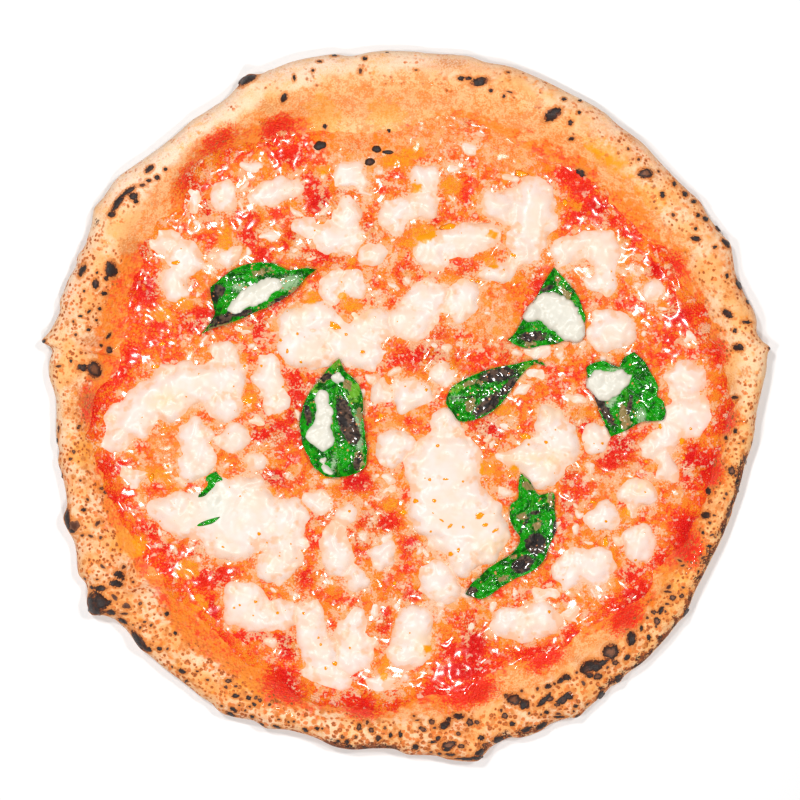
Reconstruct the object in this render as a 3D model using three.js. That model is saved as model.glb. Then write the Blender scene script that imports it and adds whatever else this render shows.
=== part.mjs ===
// Margherita pizza, about 320 mm across: a baked dough disc with a puffed, uneven rim, a thin
// layer of tomato, pools of melted mozzarella and basil leaves. Millimetres, +Z up, the
// underside rests on z = 0. Plan positions are measured from the middle of the pizza.
import * as THREE from 'three';

// ---------------------------------------------------------------- driving dimensions (mm)
const RIM_CROWN = 16; // usual height of the rim above the table
const RIM_CROWN_SWING = 1.6; // how far the crown rises and falls round the pizza
const RIM_BULGE_HEIGHT = 0.4; // widest point of the rim, as a share of the crown height
const RIM_LUMP = 0.9; // depth of the soft lumps on the rim
const FOOT_INSET = 6; // the flat underside ends this far inside the outline
const CROWN_SHARE = 0.36; // place of the crown across the rim's width
const RIM_WIDTH_MIN = 18;
const RIM_WIDTH_MAX = 32;
const RIM_PAST_SAUCE = 8; // the rim's inner slope starts this far inside the sauce's edge
const DOUGH_FLOOR = 3.4; // dough under the sauce
const FLOOR_SWELL = 0.35; // gentle unevenness of that floor
const SAUCE_DEPTH = 1.2;
const SAUCE_EDGE_DEPTH = 0.5;
const CHEESE_EDGE = 0.7; // height of a mozzarella pool's rounded edge
const CHEESE_BLEND = 2.5; // softness with which neighbouring lumps melt together
const CHEESE_SHOULDER = 6.5; // distance from the edge to a pool's full height
const CHEESE_SEAM = 0.9; // width of the seam where two pools meet
const LEAF_THICKNESS = 0.5;
const GAP = 0.35; // clearance kept between touching pieces
const SEGMENTS = 120; // facets round the dough
const CHEESE_PITCH = 5.3; // spacing of the vertex lattice in the mozzarella
const LEAF_PITCH = 4.4; // and in the basil
// Rings of the dough: below the waist, as shares of the foot's inset and the waist's height;
// above it, as shares of the crown's inset and height; on the floor, of the floor's radius.
const RIM_UNDERSIDE = [0.28, 0.45];
const RIM_SHOULDERS = [[0.16, 0.68], [0.48, 0.91]];
const FLOOR_RINGS = [0.67, 0.34];
const CROWN_LIMIT = 0.75; // the crown stays within this share of the bare rim
const BARE_RIM_MIN = 9; // dough left bare outside the tomato, at least
const TURN = 2 * Math.PI;

// Outline of the crust, anticlockwise from the right.
const CRUST_OUTLINE = [
  [156, 2], [160.5, 24], [155.5, 33], [150, 48], [145, 62], [139, 77.5], [125, 94.5],
  [105, 115.5], [86, 130.5], [60, 144], [35, 151.8], [5, 156.3], [-25, 154.4], [-50, 151.7],
  [-67, 146.7], [-72, 144.5], [-77, 137], [-95, 125.5], [-120, 106], [-135, 90], [-141, 74],
  [-149, 56], [-155, 38], [-161, 28], [-157.2, 21], [-155, 3], [-154.5, -16], [-151, -36],
  [-150, -45], [-151.5, -50], [-149, -56.5], [-145.5, -66], [-144.5, -75], [-139.8, -82],
  [-141, -89], [-136.5, -93.3], [-128.5, -95], [-118.5, -105.5], [-114.5, -109.8],
  [-95, -125.5], [-81, -136.2], [-66.5, -139.8], [-60, -143], [-35, -148.5], [-15, -152],
  [19, -156.7], [32, -157.3], [37, -152], [52, -147], [76, -138], [90, -125], [105, -113.5],
  [123, -93.5], [133, -72], [145.5, -42], [152, -22],
];

// Reach of the tomato from the middle, each 10 degrees anticlockwise from the right.
const SAUCE_REACH = [
  145, 141, 138, 136, 129, 131, 129, 129, 131, 127, 124, 132,
  138, 144, 137, 138, 133, 131, 142, 141, 139, 136, 135, 135,
  137, 138, 138, 134, 132, 127, 130, 131, 138, 138, 140, 141,
];

// Large scorched blisters on the rim: [x, y, radius, rise].
const BLISTERS = [
  [-135.5, -87.5, 9, 2.4], [-117, -104, 8, 1.8], [-147.5, -51, 7, 1.6], [-69, 143, 7, 1.8],
  [89, -108.5, 8, 1.8], [99, -102.5, 6, 1.2], [49.5, -130.5, 8, 1.6], [19, -149.5, 8, 1.4],
  [61, -129, 7, 1.2], [-157, 27, 6, 1.2], [105, 101.5, 6, 1.2], [-137, 15.5, 6, 1],
  [142.7, -28.8, 5, 1], [32, -153, 7, 1.4], [82, -115, 8, 1.4],
];

// Mozzarella that melted on the tomato: each pool is a thickness and its lumps, each lump
// [x, y, half length, half width, turn in degrees].
const MOZZARELLA_POOLS = [
  [2.4, [-58, 95, 12, 6, 10]],
  [1.8, [-81, 92, 5.5, 8, 0]],
  [2.0, [-24, 105, 6, 5, 0], [-23, 98.5, 6, 3.5, 0]],
  [2.2, [-25.5, 84, 5, 7.5, 0], [-32, 74, 12, 6.5, -10], [-46, 80, 4.5, 4, 0]],
  [2.2, [-14, 67, 7, 6, 0]],
  [2.2, [-33.5, 52.5, 4.8, 8, 0], [-22.5, 54, 6.5, 6, 0]],
  [2.6, [-39, 38, 8, 7, 0], [-51, 36, 5, 6, 0], [-48, 26, 8, 8, 0], [-40, 23, 8, 7, 0],
    [-25, 28, 9, 8.5, 0], [-14, 36, 10, 7, 0], [-18, 21, 7, 6, 0]],
  [2.2, [-61.5, 13, 6.5, 10, 0], [-57, 1, 5, 5, 0]],
  [2.9, [-130, -15, 7.5, 7.5, 0], [-123, -8, 8, 8, 0], [-116, 1, 8.5, 8.5, 0],
    [-106, 7, 9, 9, 0], [-96, 9, 9, 9, 0], [-88, 10, 8, 8, 0], [-78, 13, 7, 7, 0],
    [-80, 23, 5.5, 4, 0], [-80, 0, 7, 6.5, 0], [-104, -3, 5.5, 5, 0]],
  [2.6, [-93, -14, 7.5, 7, 0], [-91, -23, 6, 7, 0], [-96, -29, 4.5, 4.5, 0]],
  [2.4, [-76, -14, 8, 6.5, 0]],
  [2.4, [-107, 72.5, 7, 5.5, 20], [-97, 66, 7.5, 7, 0], [-103, 54, 7, 8, 0]],
  [1.9, [-80, 66, 7, 5, 30]],
  [2.3, [9, 101, 6, 6, 0], [-5, 84, 7, 8, 0], [8, 89, 7.5, 6.5, 0]],
  [2.9, [57, 86, 10, 15, 0], [40, 89, 8, 7, 0], [52, 70, 9, 6, -45], [41, 59, 7, 5, 0]],
  [2.6, [27, 74, 15, 7, 5], [11, 66, 7, 8, 0]],
  [2.5, [26, 46, 7.5, 11, 0], [8, 48, 9, 8, 0], [2, 36, 11, 7, -15]],
  [2.3, [69.5, 66, 5, 6, 0], [76, 71, 6, 4, 0], [89, 68, 7, 10, 0], [87, 54, 6.5, 6, 0]],
  [2.6, [91, 33, 11, 9, 0]],
  [2.6, [124, 12, 8.5, 7.5, 0], [126, -5, 11, 8, 0], [115, -13, 5, 6, 0],
    [109, -19, 5.5, 5.5, 0], [115, -28, 5.5, 7, 0]],
  [1.8, [109, 50, 5.5, 4.5, -45]],
  [1.8, [58, 24, 5.5, 4, 0]],
  [2.0, [16, 14, 6, 5, 0]],
  [2.4, [2, 4, 9, 7.5, 0]],
  [2.2, [-11.5, 6, 4.5, 6, 0]],
  [2.6, [-6, -18, 8, 9, 0]],
  [3.0, [17, -7, 5.5, 6, 0], [18, -20, 14, 8, 0], [10, -27, 9, 9, 0], [22, -30, 11, 9, 0],
    [16, -40, 12, 8, 0], [27, -42, 8, 8, 0], [10, -48, 9, 8, 0], [22, -54, 14, 11, 0],
    [37, -52, 8, 9, 0], [35, -61, 9, 7, 0], [26, -69, 7, 6, 0]],
  [2.5, [13, -76, 8, 8, 0], [18, -84, 7, 5, 0]],
  [2.0, [-66, -24.5, 5.5, 4.5, 0]],
  [3.0, [-104, -48, 11, 7, -10], [-92, -49, 11, 9, 0], [-80, -45, 9, 12, 0],
    [-76, -57, 12, 8, 0], [-66, -48, 12, 10, 0], [-50, -50, 6, 8.5, 0], [-57, -56, 8, 6, 0],
    [-52, -64, 6, 8, 0], [-58, -73, 7.5, 6.5, 0], [-79, -64, 8, 5, 0], [-69, -35.5, 6, 4, 0]],
  [2.0, [-120, -31.5, 5.5, 5.5, 0]],
  [2.1, [-39, -43.5, 5.5, 5.5, 0]],
  [2.1, [-26, -49, 5, 6.5, -20]],
  [2.5, [-31.5, -61, 6, 9, 0], [-31, -70, 6, 5, 0], [-21, -78, 5, 5.5, 0]],
  [2.4, [-11, -66, 6, 6.5, 0]],
  [2.7, [-72, -87, 8.5, 9, 0], [-67, -95, 9, 5.5, 0], [-54, -93, 5.5, 6, 0]],
  [2.6, [-44, -94, 5.5, 7, 0], [-42, -103, 6, 8, 0], [-38, -111, 7.5, 7.5, 0],
    [-36, -120, 7, 6, 0], [-30, -124, 6, 4.5, 0]],
  [2.4, [-26, -115, 6, 6, 0], [-20, -112, 6, 5, 0], [-22, -105, 8, 6, 0],
    [-23, -96, 6, 5.5, 0]],
  [1.8, [-11, -124, 6, 4.5, 0]],
  [2.8, [3, -95, 7, 7, 0], [4, -104, 7, 8.5, 0], [0, -112, 8, 5, 0]],
  [2.5, [44, -97, 6.5, 6, 0], [52, -99, 5, 4.5, 0], [60, -94, 9.5, 8, 0]],
  [2.5, [73, -73, 7, 9, 0], [84, -72, 8, 9, 0]],
  [2.9, [55, -24, 14.5, 7, 0], [64, -8, 6, 8.5, 0], [70, -17, 7.5, 8, 0], [62, -31, 8, 6, 0]],
  [2.2, [85, -15, 6, 6.5, 0]],
  [2.3, [103, -39, 8, 7, 0]],
  [2.3, [88, -50, 8, 6.5, 0]],
  [2.6, [103, -62, 7.5, 8, 0]],
];

// Mozzarella that melted over the leaves, in the same form.
const MOZZARELLA_ON_BASIL = {
  mozzarella_on_basil_1: [1.5, [-66, 48.5, 11, 4.6, 25]],
  mozzarella_on_basil_2: [1.6, [-37.5, 0, 4.6, 9, 0], [-37.5, -13, 5.2, 8.5, 0]],
  mozzarella_on_basil_3: [2.2, [65, 41, 11, 9.5, -25]],
  mozzarella_on_basil_4: [1.8, [88, 11, 8, 5.5, 0]],
};

// Basil leaves: how far the edges curl up, and the outline.
const BASIL_LEAVES = {
  basil_1: [3.2, [[-39.5, 59.5], [-51, 60.5], [-62, 62.2], [-72, 60.5], [-80, 57], [-86, 50],
    [-85.5, 43], [-90.5, 31.5], [-82, 34.5], [-72, 38], [-62, 43.5], [-50, 50]]],
  basil_2: [2.6, [[-29.5, 20.5], [-36, 16.5], [-41, 9], [-45.5, 0], [-47, -9], [-46, -17],
    [-42.5, -25.5], [-36, -31], [-30, -32], [-23, -30.5], [-18, -28], [-17.2, -21],
    [-18, -12], [-18.5, -3], [-20, 6], [-24, 14]]],
  basil_3: [1.6, [[65.5, 60.7], [61, 54], [56, 46], [50, 37.5], [45.5, 29], [50, 26],
    [57, 25.5], [66, 27.5], [74, 31], [79, 39.5], [75, 48], [70, 54.5]]],
  basil_4: [1.6, [[62, 17.5], [57, 19.8], [50, 18.5], [40, 16], [30, 13], [20, 7], [18, 0],
    [22, -5], [27, -7.5], [34, -5], [42, 0], [48, 6], [53, 12]]],
  basil_5: [1.8, [[80, 17], [84, 19], [92, 17], [100, 23], [106, 17], [111, 10], [113.5, 2],
    [113, -5.5], [107, -8], [101, -10.5], [91, -13.8], [88, -8], [85, 0], [82, 8]]],
  basil_6: [1.8, [[51, -30.5], [55.5, -34.5], [60, -39.5], [65.3, -38.5], [65.8, -48],
    [65.5, -58], [62, -68], [57.5, -74], [50, -76.5], [42, -81], [32, -85.5], [26.5, -83.5],
    [29.5, -78.5], [34, -73.5], [40, -69], [46, -65.5], [49, -60], [44, -56], [45.8, -47],
    [49.5, -41], [50.2, -35]]],
};
const BASIL_UNDER_MOZZARELLA = [0.4, [[-84, -29.8], [-89.5, -32.5], [-91.8, -39.5],
  [-94, -46], [-96, -53], [-90, -54.2], [-83.5, -51], [-79, -45], [-77, -38]]];

// ---------------------------------------------------------------------------- materials
function matt(colour, roughness) {
  return new THREE.MeshStandardMaterial({ color: colour, roughness, metalness: 0 });
}

// ------------------------------------------------------------------------ plan functions
function closedCurve(points) {
  const knots = points.map(([x, y]) => new THREE.Vector3(x, y, 0));
  return new THREE.CatmullRomCurve3(knots, true, 'centripetal');
}

// Distance from the middle to a closed curve round it, as a function of the angle.
function reachOf(points) {
  const SAMPLES = 1440;
  const polar = closedCurve(points).getPoints(SAMPLES)
    .map((p) => [(Math.atan2(p.y, p.x) + TURN) % TURN, Math.hypot(p.x, p.y)])
    .sort((a, b) => a[0] - b[0]);
  const last = polar.length - 1;
  const first = [polar[0][0] + TURN, polar[0][1]];
  const before = [polar[last][0] - TURN, polar[last][1]];
  const table = [before, ...polar, first];
  return (angle) => {
    const wanted = ((angle % TURN) + TURN) % TURN;
    let k = table.findIndex((entry) => entry[0] > wanted);
    if (k < 1) k = table.length - 1;
    const [a0, r0] = table[k - 1];
    const [a1, r1] = table[k];
    return THREE.MathUtils.lerp(r0, r1, (wanted - a0) / Math.max(a1 - a0, 1e-9));
  };
}

const crustReach = reachOf(CRUST_OUTLINE);
const sauceReach = reachOf(SAUCE_REACH.map((reach, k) => {
  const angle = (k * TURN) / SAUCE_REACH.length;
  return [reach * Math.cos(angle), reach * Math.sin(angle)];
}));

// Crown height, and the soft lumps of the baked rim, round the pizza.
function crownHeight(angle) {
  const swell = 0.6 * Math.sin(3 * angle + 1.1) + 0.4 * Math.sin(7 * angle + 0.4);
  return RIM_CROWN + RIM_CROWN_SWING * swell;
}

function rimLump(angle, across) {
  const wave = Math.sin(23 * angle + 2.3 * across) + Math.sin(37 * angle - 3.1 * across + 1.7);
  return 0.5 * RIM_LUMP * wave;
}

function blisterRise(x, y) {
  let rise = 0;
  for (const [bx, by, radius, height] of BLISTERS) {
    const share = Math.hypot(x - bx, y - by) / radius;
    if (share < 1) rise = Math.max(rise, height * (1 - share * share) ** 2);
  }
  return rise;
}

function floorHeight(x, y) {
  const swell = Math.sin(x / 17 + 0.6) * Math.cos(y / 19) + 0.6 * Math.sin((x - y) / 26);
  return DOUGH_FLOOR + FLOOR_SWELL * swell;
}

// ------------------------------------------------------------------------------- dough
// A section of the dough at one angle: the steps run from the middle of the underside out
// over the rim and back to the middle of the floor. Each step is [distance, height].
function doughSection(angle) {
  const outline = crustReach(angle);
  const sauce = Math.min(sauceReach(angle), outline - BARE_RIM_MIN);
  const width = THREE.MathUtils.clamp(outline - sauce + RIM_PAST_SAUCE, RIM_WIDTH_MIN, RIM_WIDTH_MAX);
  const crownInset = Math.min(CROWN_SHARE * width, CROWN_LIMIT * (outline - sauce));
  const crown = crownHeight(angle);
  const waist = RIM_BULGE_HEIGHT * crown;
  const place = (reach, height) => {
    const x = reach * Math.cos(angle);
    const y = reach * Math.sin(angle);
    return [reach, height(x, y)];
  };
  // Inner slope: a half cosine from the crown down to the floor.
  const slope = (inset) => (x, y) => {
    const t = THREE.MathUtils.clamp((inset - crownInset) / (width - crownInset), 0, 1);
    const floor = floorHeight(x, y);
    return floor + (crown - floor) * (0.5 + 0.5 * Math.cos(Math.PI * t)) + blisterRise(x, y) * (1 - t);
  };
  const onRim = (inset, share) => place(outline - inset, (x, y) => (
    share * crown + rimLump(angle, inset) * share + blisterRise(x, y) * share
  ));
  const sauceInset = outline - sauce;
  const insets = [
    (crownInset + sauceInset) / 2, sauceInset, (sauceInset + width) / 2, width,
  ];
  return {
    outer: [
      [0, 0],
      [0.5 * (outline - FOOT_INSET), 0],
      [outline - FOOT_INSET, 0],
      [outline - RIM_UNDERSIDE[0] * FOOT_INSET, RIM_UNDERSIDE[1] * waist],
      [outline, waist],
      ...RIM_SHOULDERS.map(([way, share]) => onRim(way * crownInset, share)),
      onRim(crownInset, 1),
      place(outline - insets[0], slope(insets[0])),
    ],
    inner: [
      ...insets.slice(1).map((inset) => place(outline - inset, slope(inset))),
      ...FLOOR_RINGS.map((share) => place(share * (outline - width), floorHeight)),
      place(0, floorHeight),
    ],
  };
}

// A lathed solid whose every ring is then set to its own distance and height by a section.
// The first `turned` bands have their quads split along the other diagonal.
function latheBySection(sectionAt, steps, turned = 0) {
  const profile = Array.from({ length: steps }, (_, k) => {
    const onAxis = k === 0 || k === steps - 1;
    return new THREE.Vector2(onAxis ? 0 : 1, k);
  });
  const geometry = new THREE.LatheGeometry(profile, SEGMENTS);
  const sections = Array.from({ length: SEGMENTS }, (_, j) => sectionAt((j * TURN) / SEGMENTS));
  const position = geometry.attributes.position;
  for (let k = 0; k < position.count; k += 1) {
    const segment = Math.floor(k / steps) % SEGMENTS;
    const [reach, height] = sections[segment][k % steps];
    const angle = (segment * TURN) / SEGMENTS;
    position.setXYZ(k, reach * Math.cos(angle), reach * Math.sin(angle), height);
  }
  const { index } = geometry;
  const QUAD = 6;
  for (let quad = 0; quad * QUAD < index.count; quad += 1) {
    if (quad % (steps - 1) >= turned) continue;
    const [a, b, d, c] = [0, 1, 2, 3].map((k) => index.getX(quad * QUAD + k));
    [a, b, c, a, c, d].forEach((corner, k) => index.setX(quad * QUAD + k, corner));
  }
  geometry.computeVertexNormals();
  return geometry;
}

function doughGeometry() {
  const section = (angle) => {
    const { outer, inner } = doughSection(angle);
    return [...outer, ...inner];
  };
  return latheBySection(section, section(0).length);
}

// ------------------------------------------------------------------------------- sauce
// The tomato follows the dough's own facets, a gap above them, and thins to its edge.
function sauceGeometry() {
  const section = (angle) => {
    const { inner } = doughSection(angle);
    const bed = inner.map(([reach, height]) => [reach, height + GAP]).reverse();
    const edge = bed.length - 1;
    const face = bed.map(([reach, height], k) => {
      const depth = k === edge ? SAUCE_EDGE_DEPTH : SAUCE_DEPTH;
      return [reach, height + depth];
    });
    return [...bed, ...face.reverse()];
  };
  const steps = section(0).length;
  return latheBySection(section, steps, steps / 2 - 1);
}

// -------------------------------------------------------------------- surfaces to lie on
// Height of the top of a set of geometries above a point, by its triangles seen in plan.
function triangleList(geometry) {
  const { position } = geometry.attributes;
  const corner = (k) => new THREE.Vector3().fromBufferAttribute(position, geometry.index.getX(k));
  const triangles = [];
  for (let k = 0; k < geometry.index.count; k += 3) {
    const [a, b, c] = [corner(k), corner(k + 1), corner(k + 2)];
    const area = (b.x - a.x) * (c.y - a.y) - (c.x - a.x) * (b.y - a.y);
    if (area > 1e-6) triangles.push({ a, b, c, area, box: new THREE.Box3().setFromPoints([a, b, c]) });
  }
  return triangles;
}

function topAbove(triangles, x, y) {
  let top = -Infinity;
  for (const { a, b, c, area, box } of triangles) {
    if (x < box.min.x || x > box.max.x || y < box.min.y || y > box.max.y) continue;
    const u = ((b.x - x) * (c.y - y) - (c.x - x) * (b.y - y)) / area;
    const v = ((c.x - x) * (a.y - y) - (a.x - x) * (c.y - y)) / area;
    const w = 1 - u - v;
    if (u < -1e-9 || v < -1e-9 || w < -1e-9) continue;
    top = Math.max(top, u * a.z + v * b.z + w * c.z);
  }
  return top;
}

// Where something laid on the sauce and on what already lies there comes to rest: it clears
// the sauce under it and everything within a short reach round it.
function restingHeight(sauce, lower, x, y, reach) {
  let height = topAbove(sauce, x, y);
  if (lower.length > 0) {
    height = Math.max(height, topAbove(lower, x, y));
    const AROUND = 12;
    for (let k = 0; k < AROUND; k += 1) {
      const angle = (k * TURN) / AROUND;
      for (const share of [0.5, 1]) {
        const px = x + share * reach * Math.cos(angle);
        const py = y + share * reach * Math.sin(angle);
        height = Math.max(height, topAbove(lower, px, py));
      }
    }
  }
  return height + GAP;
}

// -------------------------------------------------------------------------- thin layers
// A flat layer of any outline, on a lattice of equal triangles. `inset(x, y)` is the distance
// inside the outline, lattice points near the outline move onto it, and both faces are split
// alike and joined by a wall.
function layerGeometry(inset, box, pitch, bottomAt, thicknessAt) {
  const rise = (pitch * Math.sqrt(3)) / 2;
  const columns = Math.ceil((box.max.x - box.min.x) / pitch) + 3;
  const rows = Math.ceil((box.max.y - box.min.y) / rise) + 3;
  const SNAP = 0.42 * pitch; // lattice points this near the outline move onto it
  const PROBE = 0.05; // step for the slope of the inset
  const FLATTEST = 0.05; // least slope that a move divides by
  const SLIVER = 0.12 * pitch * pitch; // twice the area of the smallest face kept
  const EDGE_FACE_INSET = 0.4; // a face with all corners on the outline lies this deep
  const points = [];
  for (let row = 0; row < rows; row += 1) {
    for (let column = 0; column < columns; column += 1) {
      let x = box.min.x - pitch + (column + 0.5 * (row % 2)) * pitch;
      let y = box.min.y - rise + row * rise;
      let depth = inset(x, y);
      const near = Math.abs(depth) < SNAP;
      for (let step = 0; near && step < 4; step += 1) {
        const gx = (inset(x + PROBE, y) - inset(x - PROBE, y)) / (2 * PROBE);
        const gy = (inset(x, y + PROBE) - inset(x, y - PROBE)) / (2 * PROBE);
        const slope = Math.max(gx * gx + gy * gy, FLATTEST);
        x -= (depth * gx) / slope;
        y -= (depth * gy) / slope;
        depth = inset(x, y);
      }
      points.push({ x, y, kept: near || depth > 0, onEdge: near, depth: near ? 0 : depth });
    }
  }
  let faces = [];
  for (let row = 0; row + 1 < rows; row += 1) {
    for (let column = 0; column + 1 < columns; column += 1) {
      const a = row * columns + column;
      const [b, c, d] = [a + 1, a + columns, a + columns + 1];
      if (row % 2 === 0) faces.push([a, b, c], [b, d, c]);
      else faces.push([a, b, d], [a, d, c]);
    }
  }
  faces = faces.filter((face) => {
    const corners = face.map((k) => points[k]);
    if (!corners.every((p) => p.kept)) return false;
    const [a, b, c] = corners;
    if ((b.x - a.x) * (c.y - a.y) - (c.x - a.x) * (b.y - a.y) < SLIVER) return false;
    const middleInset = inset((a.x + b.x + c.x) / 3, (a.y + b.y + c.y) / 3);
    return corners.some((p) => !p.onEdge) || middleInset > EDGE_FACE_INSET;
  });
  faces = keepOneSheet(faces);
  const used = [...new Set(faces.flat())];
  const place = new Map(used.map((k, order) => [k, order]));
  const rim = rimEdges(faces);
  const edgePoints = new Set(rim.flat());
  const bottoms = used.map((k) => bottomAt(points[k].x, points[k].y));
  const tops = used.map((k, order) => bottoms[order] + thicknessAt(edgePoints.has(k) ? 0 : points[k].depth));
  const positions = [];
  used.forEach((k, order) => positions.push(points[k].x, points[k].y, bottoms[order]));
  used.forEach((k, order) => positions.push(points[k].x, points[k].y, tops[order]));
  const index = [];
  const up = used.length;
  for (const face of faces) {
    const [a, b, c] = face.map((k) => place.get(k));
    index.push(a, c, b, a + up, b + up, c + up);
  }
  for (const edge of rim) {
    const [a, b] = edge.map((k) => place.get(k));
    index.push(a, b, b + up, a, b + up, a + up);
  }
  const geometry = new THREE.BufferGeometry();
  geometry.setAttribute('position', new THREE.Float32BufferAttribute(positions, 3));
  geometry.setIndex(index);
  geometry.computeVertexNormals();
  return geometry;
}

// Edges that only one face uses, in that face's direction.
function rimEdges(faces) {
  const edges = new Map();
  for (const [a, b, c] of faces) {
    for (const [p, q] of [[a, b], [b, c], [c, a]]) edges.set(`${p},${q}`, [p, q]);
  }
  return [...edges.values()].filter(([p, q]) => !edges.has(`${q},${p}`));
}

// The largest patch of faces joined edge to edge, with no two fans meeting in one point.
function keepOneSheet(allFaces) {
  let faces = allFaces;
  for (;;) {
    const counts = new Map();
    for (const [p] of rimEdges(faces)) counts.set(p, (counts.get(p) ?? 0) + 1);
    const pinched = [...counts].find(([, count]) => count > 1);
    if (!pinched) break;
    const fans = patches(faces.filter((face) => face.includes(pinched[0])));
    const smallest = fans.sort((a, b) => a.length - b.length)[0];
    faces = faces.filter((face) => !smallest.includes(face));
  }
  return patches(faces).sort((a, b) => b.length - a.length)[0];
}

function patches(faces) {
  const left = new Set(faces);
  const found = [];
  while (left.size > 0) {
    const patch = [left.values().next().value];
    left.delete(patch[0]);
    for (let k = 0; k < patch.length; k += 1) {
      for (const other of left) {
        if (patch[k].filter((corner) => other.includes(corner)).length < 2) continue;
        left.delete(other);
        patch.push(other);
      }
    }
    found.push(patch);
  }
  return found;
}

// --------------------------------------------------------------------------- mozzarella
// Distance inside one lump, and inside lumps that melted together.
function lumpInset([cx, cy, length, width, degrees], x, y) {
  const angle = THREE.MathUtils.degToRad(degrees);
  const along = (x - cx) * Math.cos(angle) + (y - cy) * Math.sin(angle);
  const across = (y - cy) * Math.cos(angle) - (x - cx) * Math.sin(angle);
  return (1 - Math.hypot(along / length, across / width)) * Math.min(length, width);
}

function poolInset(lumps, x, y) {
  const insets = lumps.map((lump) => lumpInset(lump, x, y));
  const largest = Math.max(...insets);
  const sum = insets.reduce((total, d) => total + Math.exp((d - largest) / CHEESE_BLEND), 0);
  return largest + CHEESE_BLEND * Math.log(sum);
}

// A pool stops half a seam short of the line where a neighbouring pool is as deep.
function insetBesideNeighbours(lumps, neighbours, x, y) {
  const own = poolInset(lumps, x, y);
  const REACH = -12;
  if (own < REACH) return own;
  const other = Math.max(...neighbours.map((pool) => poolInset(pool, x, y)), REACH);
  return Math.min(own, (own - other - CHEESE_SEAM) / 2);
}

function mozzarellaGeometry([thickness, ...lumps], neighbours, sauce, lower) {
  const box = new THREE.Box2();
  const MARGIN = 4;
  for (const [x, y, length, width] of lumps) {
    const reach = Math.max(length, width) + MARGIN;
    box.expandByPoint(new THREE.Vector2(x - reach, y - reach));
    box.expandByPoint(new THREE.Vector2(x + reach, y + reach));
  }
  // A domed top: a quarter circle from the edge up to the full thickness.
  const dome = (inset) => {
    const t = Math.min(inset / CHEESE_SHOULDER, 1);
    return CHEESE_EDGE + (thickness - CHEESE_EDGE) * Math.sqrt(1 - (1 - t) ** 2);
  };
  const bottom = (x, y) => restingHeight(sauce, lower, x, y, CHEESE_PITCH);
  const inset = (x, y) => insetBesideNeighbours(lumps, neighbours, x, y);
  return layerGeometry(inset, box, CHEESE_PITCH, bottom, dome);
}

// -------------------------------------------------------------------------------- basil
// Distance inside a closed outline, negative outside it.
function outlineInset(outline, x, y) {
  let nearest = Infinity;
  let inside = false;
  for (let k = 0; k < outline.length; k += 1) {
    const a = outline[k];
    const b = outline[(k + 1) % outline.length];
    const [dx, dy] = [b.x - a.x, b.y - a.y];
    const t = THREE.MathUtils.clamp(((x - a.x) * dx + (y - a.y) * dy) / (dx * dx + dy * dy), 0, 1);
    nearest = Math.min(nearest, Math.hypot(x - a.x - t * dx, y - a.y - t * dy));
    if ((a.y > y) !== (b.y > y) && x < a.x + (dx * (y - a.y)) / dy) inside = !inside;
  }
  return inside ? nearest : -nearest;
}

// A thin cupped leaf: it rests along its middle and its edges curl up in slow waves.
function basilGeometry([curl, points], sauce, lower) {
  const OUTLINE_STEPS = 72;
  const CUP_WIDTH = 8;
  const outline = closedCurve(points).getPoints(OUTLINE_STEPS).slice(0, OUTLINE_STEPS);
  const inset = (x, y) => outlineInset(outline, x, y);
  const box = new THREE.Box2().setFromPoints(outline.map((p) => new THREE.Vector2(p.x, p.y)));
  const bottom = (x, y) => {
    const toEdge = 1 - Math.min(Math.max(inset(x, y), 0) / CUP_WIDTH, 1);
    const wave = 0.75 + 0.25 * Math.sin(x / 5 + y / 7); // the curl varies along the edge
    return restingHeight(sauce, lower, x, y, LEAF_PITCH) + curl * wave * toEdge ** 2;
  };
  return layerGeometry(inset, box, LEAF_PITCH, bottom, () => LEAF_THICKNESS);
}

// ---------------------------------------------------------------------------- the pizza
const doughMaterial = matt(0xe2ab6e, 0.8);
const sauceMaterial = matt(0xe0451c, 0.35);
const cheeseMaterial = matt(0xf8ead8, 0.35);
const basilMaterial = matt(0x1f7a1c, 0.45);

const pizza = new THREE.Group();
pizza.name = 'margherita_pizza';

function addPiece(name, geometry, material) {
  const mesh = new THREE.Mesh(geometry, material.clone());
  mesh.name = name;
  pizza.add(mesh);
  return triangleList(geometry);
}

addPiece('dough', doughGeometry(), doughMaterial);
const sauceTop = addPiece('tomato_sauce', sauceGeometry(), sauceMaterial);
const buriedLeaf = addPiece('basil_7', basilGeometry(BASIL_UNDER_MOZZARELLA, sauceTop, []), basilMaterial);

const poolTops = MOZZARELLA_POOLS.flatMap((pool, k) => {
  const name = `mozzarella_${String(k + 1).padStart(2, '0')}`;
  const others = MOZZARELLA_POOLS.filter((other) => other !== pool).map(([, ...lumps]) => lumps);
  return addPiece(name, mozzarellaGeometry(pool, others, sauceTop, buriedLeaf), cheeseMaterial);
});

const leafTops = Object.entries(BASIL_LEAVES).flatMap(([name, leaf]) => (
  addPiece(name, basilGeometry(leaf, sauceTop, poolTops), basilMaterial)
));

for (const [name, pool] of Object.entries(MOZZARELLA_ON_BASIL)) {
  addPiece(name, mozzarellaGeometry(pool, [], sauceTop, [...leafTops, ...poolTops]), cheeseMaterial);
}

// The origin is under the middle of the pizza's extent.
const extent = new THREE.Box3().setFromObject(pizza);
const middle = extent.getCenter(new THREE.Vector3());
pizza.position.set(-middle.x, -middle.y, 0);
pizza.updateMatrixWorld(true);

export default pizza;
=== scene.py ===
"""Looks of a margherita pizza from a wood oven, about 320 mm across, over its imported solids.

Plan positions are millimetres from the middle of the pizza, +X right and +Y up as it lies before
the eater; heights are millimetres above the table. Every mesh goes to metres as it is made.
"""

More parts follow.
